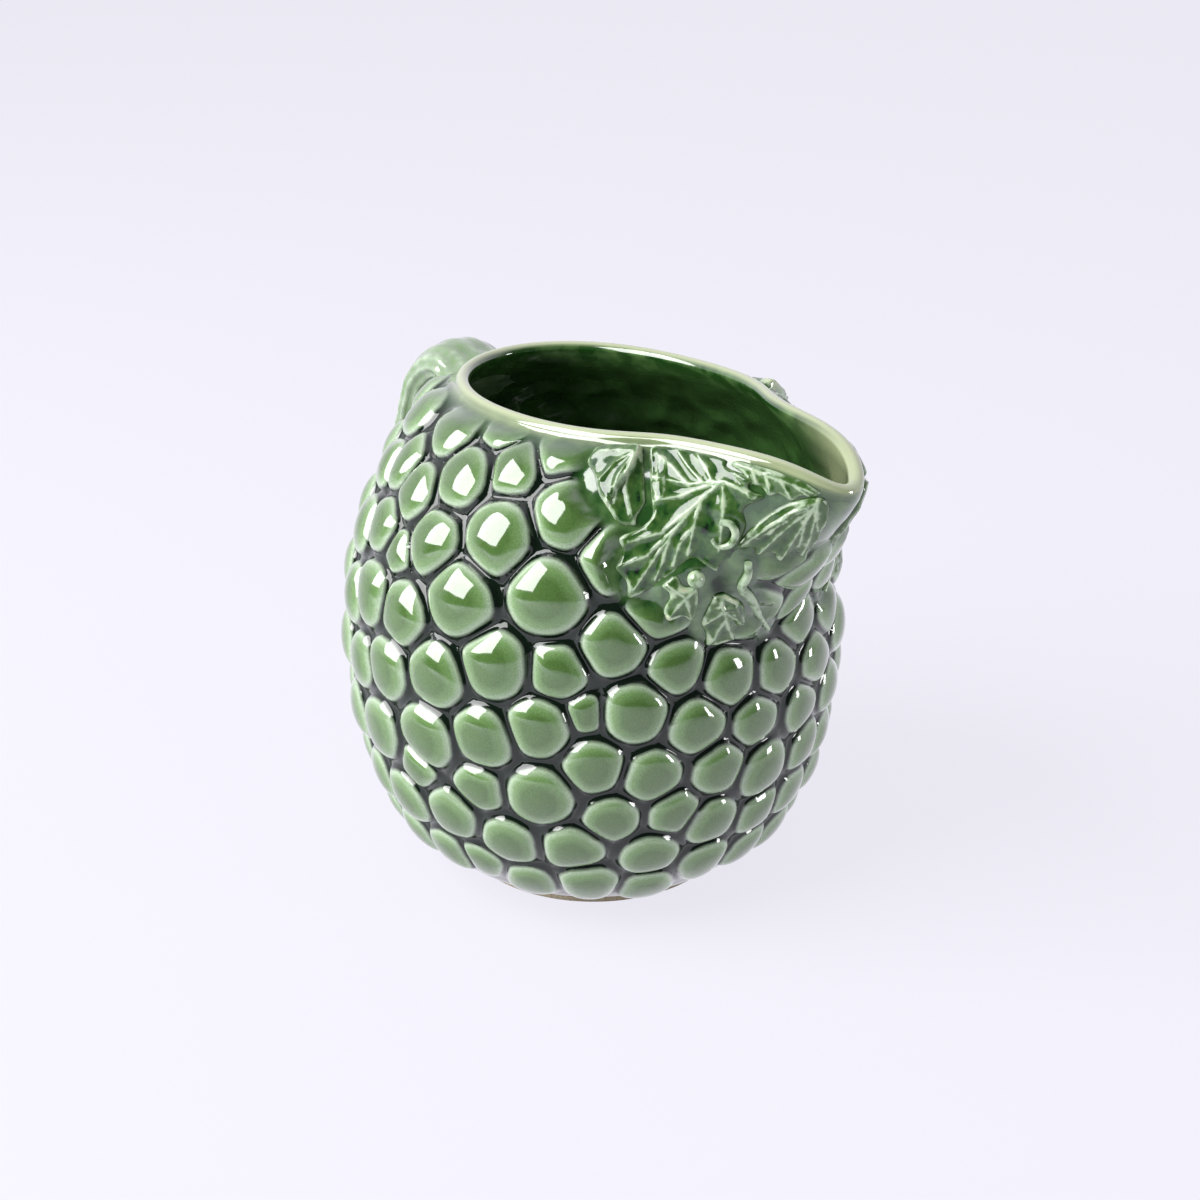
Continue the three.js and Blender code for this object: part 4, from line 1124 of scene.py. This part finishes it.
def leaf_mesh(name, wall, outline, veins, folds, flap, left, thickness, rim_share, seat, turn):
    """A pressed leaf that lies on the wall: raised veins, folds and a raised, curling edge."""
    outline, veins = np.array(outline, float), [np.array(vein, float) for vein in veins]
    centre = outline.mean(0)
    outline = centre + (outline - centre) * LEAF_SPREAD
    degree, rise = wall.spacing(centre[0], centre[1])
    scale = np.array([degree, rise])
    rim = stepped(rounded((outline - centre) * scale), RIM_STEP, closed=True)
    lines = [(vein - centre) * scale for vein in veins]

    # Corners on the rim, beside it, along the veins and over the blade
    low, high = rim.min(0), rim.max(0)
    grid = np.stack(np.meshgrid(*[np.arange(low[i], high[i], BLADE_STEP) for i in (0, 1)]), -1)
    candidates = []
    if flap:
        free_edge = (np.array(flap[0], float) - centre) * scale
    for line in [*lines, free_edge] if flap else lines:
        spots = stepped(line, VEIN_STEP)
        ahead = np.gradient(spots, axis=0)
        normal = unit(np.stack([-ahead[:, 1], ahead[:, 0]], -1))
        candidates += [spots + normal * shift for shift in (0, 0.4, -0.4, 0.85, -0.85)]
    ahead = np.roll(rim, -1, 0) - np.roll(rim, 1, 0)
    normal = unit(np.stack([ahead[:, 1], -ahead[:, 0]], -1))
    candidates += [rim + normal * shift for shift in (0.4, -0.4, 0.9, -0.9, 1.5, -1.5)]
    candidates.append(grid.reshape(-1, 2))
    loose = np.concatenate(candidates)
    loose = loose[within(loose, rim)]
    loose = loose[edge_distance(loose, rim) > RIM_CLEARANCE]
    kept, cells = [], {}
    for spot in loose.tolist():
        cell = (int(spot[0] // 0.4), int(spot[1] // 0.4))
        around = [(cell[0] + i, cell[1] + j) for i in (-1, 0, 1) for j in (-1, 0, 1)]
        near = [other for place in around for other in cells.get(place, ())]
        if any((spot[0] - o[0]) ** 2 + (spot[1] - o[1]) ** 2 < CROWDED for o in near):
            continue
        cells.setdefault(cell, []).append(spot)
        kept.append(spot)
    spots = np.concatenate([rim, np.array(kept)])
    count = len(rim)
    found, _, faces, _, _, _ = delaunay_2d_cdt(
        [Vector(spot) for spot in spots.tolist()], [], [list(range(count))], 1, 1e-6)
    spots = np.array([list(spot) for spot in found])

    # How near every corner is to a vein, and slow waves in which the blade buckles and the rim curls
    in_edge = edge_distance(spots, rim)
    vein, near_vein = np.zeros(len(spots)), np.zeros(len(spots))
    for line in lines:
        distance, share = line_distance(spots, line)
        width = VEIN_WIDTH * (1.2 - 0.5 * share)
        vein = np.maximum(vein, np.exp(-(distance / width) ** 2) * (1 - 0.2 * share))
        near_vein = np.maximum(near_vein, np.exp(-(distance / (4 * width)) ** 2))
    wave = 0.5 * np.sin(spots[:, 0] * 0.7 + 1.3) + 0.5 * np.sin(spots[:, 1] * 0.8 + spots[:, 0] * 0.45)
    curl = smoothstep(wave, -0.2, 0.7)
    rim_ridge = np.exp(-((in_edge - 0.55) / (0.4 + 0.5 * curl)) ** 2) * (0.5 + 0.4 * curl)
    ridge = np.maximum(vein, rim_ridge)

    # The veins, the rim, the folds and the flap stand up from the blade
    side = np.clip(in_edge / 1.2, 0, 1) ** 0.7
    blade = thickness * (0.45 + 0.25 * near_vein) + 0.25 * wave * smoothstep(in_edge, 0.5, 2.5)
    lifted = thickness * (0.85 + 0.45 * curl * np.exp(-in_edge / 1.4))
    height = seat - 0.3 + side * (0.3 + blade + (lifted - blade) * ridge)
    for line, width, rise_of_fold in folds:
        distance, share = line_distance(spots, (np.array(line, float) - centre) * scale)
        fold = np.exp(-(distance / width) ** 4) * (0.55 + 0.45 * np.sin(share * math.pi))
        height = height + rise_of_fold * fold * side
        ridge = np.maximum(ridge * (1 - 0.6 * fold), np.exp(-((distance / width - 0.8) / 0.3) ** 2))
    if flap:
        _, flap_width, flap_height = flap
        distance, _ = line_distance(spots, free_edge)
        turned = spots[:, 0] < np.interp(spots[:, 1], free_edge[::-1, 1], free_edge[::-1, 0])
        slope = np.where(turned, np.clip(1 - distance / flap_width, 0, 1), np.exp(-(distance / 0.5) ** 2))
        height = height + flap_height * slope * side
        ridge = ridge * (1 - 0.85 * (turned & (distance < 0.7 * flap_width)))
        ridge = np.maximum(ridge, np.exp(-(distance / 0.6) ** 2))

    # The top follows the wall, and the underside lies a little inside it
    places = centre + spots / scale
    if left:
        places[:, 0] = turn - places[:, 0]
    top = wall.off(places[:, 0], places[:, 1], height)
    bottom = wall.off(places[:, 0], places[:, 1], np.full(len(spots), seat - 0.6))
    total = len(spots)
    upper = [list(face) for face in faces]
    lower = [[i + total for i in face[::-1]] for face in upper]
    edges = {}
    for face in upper:
        for a, b in zip(face, face[1:] + face[:1]):
            edges[(a, b)] = edges.get((a, b), 0) + 1
    skirt = [[b, a, a + total, b + total] for a, b in edges if (b, a) not in edges]
    every = upper + lower + skirt
    if left:
        every = [face[::-1] for face in every]
    pale = np.maximum(ridge, rim_share * rim_ridge)
    thin = smoothstep(in_edge, 0.0, 0.45) * (0.13 + 0.31 * pale + 0.19 * near_vein)
    thin = np.concatenate([thin, np.zeros(total)])
    return new_mesh(name, np.concatenate([top, bottom]), every, {"thin": thin})


def tube_line(points, outward, swell):
    """A line of points in millimetres for the branch tree, with the directions of its section."""
    points = np.asarray(points, float)
    along = unit(np.gradient(points, axis=0))
    outward = unit(outward - (outward * along).sum(-1, keepdims=True) * along)
    sideways = np.cross(along, outward)
    mesh = bpy.data.meshes.new("branch line")
    mesh.from_pydata((points * METRE).tolist(), [[i, i + 1] for i in range(len(points) - 1)], [])
    for key, data in (("outward", outward), ("sideways", sideways)):
        layer = mesh.attributes.new(key, "FLOAT_VECTOR", "POINT")
        layer.data.foreach_set("vector", data.ravel())
    layer = mesh.attributes.new("swell", "FLOAT", "POINT")
    layer.data.foreach_set("value", np.asarray(swell, float))
    obj = bpy.data.objects.new("branch line", mesh)
    bpy.context.scene.collection.objects.link(obj)
    return obj


def smooth_line(points, count):
    """Even points of a smooth line through the given ones."""
    points = np.asarray(points, float)
    ends = np.vstack([2 * points[0] - points[1], points, 2 * points[-1] - points[-2]])
    line = []
    for i in range(1, len(ends) - 2):
        for share in np.linspace(0, 1, 24, endpoint=False):
            a, b, c, d = ends[i - 1:i + 3]
            line.append(0.5 * (2 * b + (c - a) * share + (2 * a - 5 * b + 4 * c - d) * share ** 2
                               + (3 * b - a - 3 * c + d) * share ** 3))
    line = np.array([*line, points[-1]])
    run = np.concatenate([[0], np.cumsum(np.linalg.norm(np.diff(line, axis=0), axis=1))])
    shares = np.linspace(0, run[-1], count)
    return np.stack([np.interp(shares, run, line[:, i]) for i in range(3)], -1)


def lute_on(mesh, wall, line):
    """Spreads the ends of a piece over the wall, as the potter's thumb does with the slip, and draws back
    into the wall whatever would come out of it inside the jug."""
    angles, levels = np.meshgrid(np.arange(150, 210, 0.5), np.arange(20, 100, 0.4))
    skin = wall.point(angles, levels).reshape(-1, 3)
    outward = wall.outward(angles, levels).reshape(-1, 3)
    tree = KDTree(len(skin))
    for i, spot in enumerate(skin.tolist()):
        tree.insert(spot, i)
    tree.balance()
    for corner in mesh.vertices:
        _, i, _ = tree.find(corner.co / METRE)
        spot = np.array(corner.co) / METRE
        depth = -float(np.dot(spot - skin[i], outward[i]))
        near = max(0.0, 1 - max(-depth, 0) / LUTE_HEIGHT) ** 2
        if near:
            aside = spot - line[np.linalg.norm(line - spot, axis=1).argmin()]
            aside -= np.dot(aside, outward[i]) * outward[i]
            corner.co += Vector(unit(aside) * LUTE_SPREAD * near * METRE)
        if depth > wall.thickness / 2:
            corner.co += Vector(outward[i] * (depth - wall.thickness / 2) * METRE)


class JUG_OT_wall(bpy.types.Operator):
    """Make the cast wall with its grapes, lip, inside and floor."""

    bl_idname = "grape_jug.wall"
    bl_label = "Jug Wall"

    def execute(self, context):
        jug_wall(context.scene.jug_sizes, context.scene.glaze_colours)
        return {"FINISHED"}


class JUG_OT_leaves(bpy.types.Operator):
    """Make the vine leaves on both sides of the spout and under it."""

    bl_idname = "grape_jug.leaves"
    bl_label = "Vine Leaves"

    def execute(self, context):
        wall = Wall(context.scene.jug_sizes)
        material = leaf_glaze(context.scene.glaze_colours)
        for hand, left in (("right", False), ("left", True)):
            for name, outline, veins, thickness, rim_share, seat, turn in [
                ("large_vine_leaf", LARGE_LEAF, LARGE_VEINS, 1.8, 1.6, 0, LEFT_TURN),
                ("folded_leaf", FOLDED_LEAF, FOLDED_VEINS, 1.9, 1.8, 0, LEFT_TURN),
                ("spout_leaf", SPOUT_LEAF, SPOUT_VEINS, 1.3, 1.5, 0, 0),
                ("throat_leaf", THROAT_LEAF, THROAT_VEINS, 1.8, 1.2, 0, 0),
                ("small_leaf_upper", UPPER_SMALL_LEAF, UPPER_SMALL_VEINS, 2.2, 2.5, SEAT_HEIGHT, LEFT_TURN),
                ("small_leaf_lower", LOWER_SMALL_LEAF, LOWER_SMALL_VEINS, 2.2, 2.5, SEAT_HEIGHT, LEFT_TURN),
            ]:
                leaf = leaf_mesh(f"{name}_glazed_{hand}", wall, outline, veins, FOLDS.get(name, []),
                                 FLAPS.get(name), left, thickness, rim_share, seat, turn)
                finish_piece(leaf, material, f"{name}_{hand}")
        return {"FINISHED"}


class JUG_OT_stems(bpy.types.Operator):
    """Make the vine stems, the tendrils and the buds."""

    bl_idname = "grape_jug.stems"
    bl_label = "Stems and Buds"

    def execute(self, context):
        wall = Wall(context.scene.jug_sizes)
        material = leaf_glaze(context.scene.glaze_colours)
        tree = branch_tree()
        for hand, left in (("right", False), ("left", True)):
            for name, run, radius, seat in [
                ("tendril", CURL_RUN, TENDRIL_RADIUS, TENDRIL_SEAT),
                ("vine_stem", STEM_RUN, STEM_RADIUS, SEAT_HEIGHT),
            ]:
                places = np.array(run, float)
                if left:
                    places[:, 0] = LEFT_TURN - places[:, 0]
                lift = np.full(len(places), seat + STEM_LIFT + radius * 0.6)
                line = smooth_line(wall.off(places[:, 0], places[:, 1], lift), STEM_STEPS)
                outward = np.stack([line[:, 0], line[:, 1], np.zeros(len(line))], -1)
                share = np.linspace(0, 1, len(line))
                swell = 0.55 + 0.45 * np.sin(np.clip(share * 1.15 + 0.1, 0, 1) * math.pi) ** 0.5
                made = grown(tube_line(line, outward, swell), tree, {
                    "Sides": STEM_SIDES, "Thickness": radius * METRE, "Width": radius * METRE,
                    "Bark Depth": 0.0, "Bark Ridges": 3.0, "Bark Twist": 0.0, "Knot Depth": 0.2,
                }, f"{name}_glazed_{hand}")
                values = made.data.attributes.new("thin", "FLOAT", "POINT")
                values.data.foreach_set("value", np.full(len(made.data.vertices), 0.5))
                finish_piece(made, material, f"{name}_{hand}")
            angle = LEFT_TURN - BUD_PLACE[0] if left else BUD_PLACE[0]
            middle = wall.off(np.float64(angle), np.float64(BUD_PLACE[1]),
                              np.float64(SEAT_HEIGHT + STEM_LIFT + BUD_LIFT))
            ball = bmesh.new()
            bmesh.ops.create_icosphere(ball, subdivisions=4, radius=BUD_RADIUS)
            points = np.array([list(corner.co) for corner in ball.verts]) + middle
            faces = [[corner.index for corner in face.verts] for face in ball.faces]
            ball.free()
            bud = new_mesh(f"berry_bud_glazed_{hand}", points, faces, {"thin": np.full(len(points), 0.5)})
            finish_piece(bud, material, f"berry_bud_{hand}")
        return {"FINISHED"}


class JUG_OT_handle(bpy.types.Operator):
    """Make the handle, a bent vine branch."""

    bl_idname = "grape_jug.handle"
    bl_label = "Branch Handle"

    def execute(self, context):
        sizes = context.scene.jug_sizes
        wall = Wall(sizes)
        run = [(-wall.belly - behind, 0, height) for behind, height in HANDLE_RUN]
        line = smooth_line(run, HANDLE_STEPS)
        along = unit(np.gradient(line, axis=0))
        outward = np.cross(np.array([0.0, 1.0, 0.0]), along)
        share = np.linspace(0, 1, len(line))
        swell = 1 + 0.4 * (2 * np.abs(share - 0.5)) ** 3
        made = grown(tube_line(line, outward, swell), branch_tree(), {
            "Sides": HANDLE_SIDES, "Thickness": sizes.branch_thickness / 2, "Width": sizes.branch_width / 2,
            "Bark Depth": 0.03, "Bark Ridges": 12.0, "Bark Twist": 4.0, "Knot Depth": 0.1,
        }, "branch_handle")
        lute_on(made.data, wall, line)
        finish_piece(made, branch_glaze(context.scene.glaze_colours), "handle")
        return {"FINISHED"}


class JUG_OT_foot(bpy.types.Operator):
    """Make the unglazed foot ring."""

    bl_idname = "grape_jug.foot"
    bl_label = "Foot Ring"

    def execute(self, context):
        wall = Wall(context.scene.jug_sizes)
        outer = wall.foot - FOOT_RING_INSET
        inner = outer - FOOT_RING_WIDTH
        turn = np.linspace(0, 2 * math.pi, FOOT_SIDES, endpoint=False)
        section = [(outer, FOOT_HEIGHT), (outer, 0.9), (outer - 0.25, 0.25), (outer - 0.9, 0),
                   (inner + 0.9, 0), (inner + 0.25, 0.25), (inner, 0.9), (inner, FOOT_HEIGHT)]
        points = [
            np.stack([radius * np.cos(turn), radius * np.sin(turn), np.full(FOOT_SIDES, height)], -1)
            for radius, height in section
        ]
        rings = [list(range(i * FOOT_SIDES, (i + 1) * FOOT_SIDES)) for i in range(len(section))]
        faces = [face[::-1] for face in ring_faces([*rings, rings[0]])]
        made = new_mesh("bare_foot_ring", np.concatenate(points), faces)
        finish_piece(made, bare_clay(context.scene.glaze_colours), "foot_ring")
        return {"FINISHED"}


class JUG_OT_stage(bpy.types.Operator):
    """Make the pale floor, the soft lamps and the camera."""

    bl_idname = "grape_jug.stage"
    bl_label = "Studio"

    def execute(self, context):
        scene = context.scene
        scene.view_settings.view_transform = "Standard"
        corners = [(x * PAPER_HALF, y * PAPER_HALF, 0) for x, y in ((-1, -1), (1, -1), (1, 1), (-1, 1))]
        floor = new_mesh("studio_floor", corners, [[0, 1, 2, 3]])
        material = new_material("pale matt paper")
        tree = material.node_tree
        rays = add_node(tree, "ShaderNodeLightPath")
        place = add_node(tree, "ShaderNodeTexCoord")
        # The paper's near edge, as the glaze mirrors it
        near = add_node(tree, "ShaderNodeVectorMath",
                        {0: place.outputs["Object"], 1: TOWARDS_CAMERA}, operation="DOT_PRODUCT")
        near = add_node(tree, "ShaderNodeMapRange",
                        {"Value": near.outputs["Value"], "From Min": PAPER_END,
                         "From Max": PAPER_END + PAPER_FADE, "To Min": 1.0, "To Max": 0.15})
        gloss = maths(tree, "MULTIPLY", rays.outputs["Is Glossy Ray"], near)
        seen = maths(tree, "ADD", rays.outputs["Is Camera Ray"], gloss)
        seen = maths(tree, "ADD", seen, rays.outputs["Is Transmission Ray"])
        seen = maths(tree, "MULTIPLY", seen, PAPER_GLOW)
        paper = add_node(tree, "ShaderNodeBsdfDiffuse", {"Color": linear("#DCDCE4")})
        glow = add_node(tree, "ShaderNodeEmission", {"Color": linear("#F7F5FF")})
        mixed = add_node(tree, "ShaderNodeMixShader", {0: seen, 1: paper, 2: glow})
        add_node(tree, "ShaderNodeOutputMaterial", {"Surface": mixed})
        floor.data.materials.append(material)

        world = bpy.data.worlds.new("pale studio")
        world.use_nodes = True
        tree = world.node_tree
        tree.nodes.clear()
        rays = add_node(tree, "ShaderNodeLightPath")
        seen = maths(tree, "ADD", rays.outputs["Is Camera Ray"], rays.outputs["Is Transmission Ray"])
        # The glaze mirrors a white wall behind the jug and a dim room on the camera's side
        way = add_node(tree, "ShaderNodeTexCoord")
        behind = add_node(tree, "ShaderNodeVectorMath",
                          {0: way.outputs["Generated"], 1: TOWARDS_CAMERA}, operation="DOT_PRODUCT")
        behind = add_node(tree, "ShaderNodeMapRange",
                          {"Value": behind.outputs["Value"], "From Min": -0.2, "From Max": 0.35,
                           "To Min": 1.0, "To Max": 0.06}, interpolation_type="SMOOTHSTEP")
        gloss = maths(tree, "MULTIPLY", rays.outputs["Is Glossy Ray"], behind)
        seen = maths(tree, "ADD", seen, gloss)
        lit = maths(tree, "SUBTRACT", 1.0, rays.outputs["Is Glossy Ray"])
        lit = maths(tree, "MULTIPLY", lit, 0.4)
        room = add_node(tree, "ShaderNodeBackground", {"Color": linear("#E6E6F0"), "Strength": lit})
        backdrop = add_node(tree, "ShaderNodeBackground", {"Color": linear("#F7F5FF"), "Strength": 1.0})
        mixed = add_node(tree, "ShaderNodeMixShader", {0: seen, 1: room, 2: backdrop})
        add_node(tree, "ShaderNodeOutputWorld", {"Surface": mixed})
        scene.world = world

        for name, place, size, power in LAMPS:
            lamp = bpy.data.lights.new(name, "AREA")
            lamp.shape = "RECTANGLE"
            lamp.size, lamp.size_y = size
            lamp.energy = power
            held = bpy.data.objects.new(name, lamp)
            held.location = place
            aim = Vector(LAMP_AIM) - Vector(place)
            held.rotation_euler = aim.to_track_quat("-Z", "Y").to_euler()
            scene.collection.objects.link(held)

        camera = bpy.data.objects.new("camera", bpy.data.cameras.new("camera"))
        azimuth, elevation = math.radians(CAMERA_AZIMUTH), math.radians(CAMERA_ELEVATION)
        away = Vector((math.cos(azimuth) * math.cos(elevation), math.sin(azimuth) * math.cos(elevation),
                       math.sin(elevation)))
        camera.location = Vector(CAMERA_AIM) + away * CAMERA_DISTANCE
        camera.rotation_euler = (-away).to_track_quat("-Z", "Y").to_euler()
        camera.data.lens = CAMERA_LENS
        camera.data.sensor_width = 36
        camera.data.shift_x = (PHOTO_SIDE / 2 - JUG_MIDDLE[0]) / PHOTO_SIDE
        camera.data.shift_y = (JUG_MIDDLE[1] - PHOTO_SIDE / 2) / PHOTO_SIDE
        scene.collection.objects.link(camera)
        scene.camera = camera
        return {"FINISHED"}


OPERATORS = (JUG_OT_wall, JUG_OT_leaves, JUG_OT_stems, JUG_OT_handle, JUG_OT_foot, JUG_OT_stage)


class JUG_PT_panel(bpy.types.Panel):
    """Lists the jug's sizes, its colours and the steps that make it."""

    bl_idname = "JUG_PT_panel"
    bl_label = "Grape Jug"
    bl_space_type = "VIEW_3D"
    bl_region_type = "UI"
    bl_category = "Grape Jug"

    def draw(self, context):
        for group in (context.scene.jug_sizes, context.scene.glaze_colours):
            column = self.layout.column()
            for name in group.__annotations__:
                column.prop(group, name)
        for operator in OPERATORS:
            self.layout.operator(operator.bl_idname)


CLASSES = (JugSizes, GlazeColours, *OPERATORS, JUG_PT_panel)


def register():
    for each in CLASSES:
        bpy.utils.register_class(each)
    bpy.types.Scene.jug_sizes = bpy.props.PointerProperty(type=JugSizes)
    bpy.types.Scene.glaze_colours = bpy.props.PointerProperty(type=GlazeColours)


def unregister():
    del bpy.types.Scene.glaze_colours
    del bpy.types.Scene.jug_sizes
    for each in reversed(CLASSES):
        bpy.utils.unregister_class(each)


def main():
    """Builds every piece in order."""
    register()
    bpy.ops.grape_jug.wall()
    bpy.ops.grape_jug.leaves()
    bpy.ops.grape_jug.stems()
    bpy.ops.grape_jug.handle()
    bpy.ops.grape_jug.foot()
    bpy.ops.grape_jug.stage()


if __name__ == "__main__":
    main()
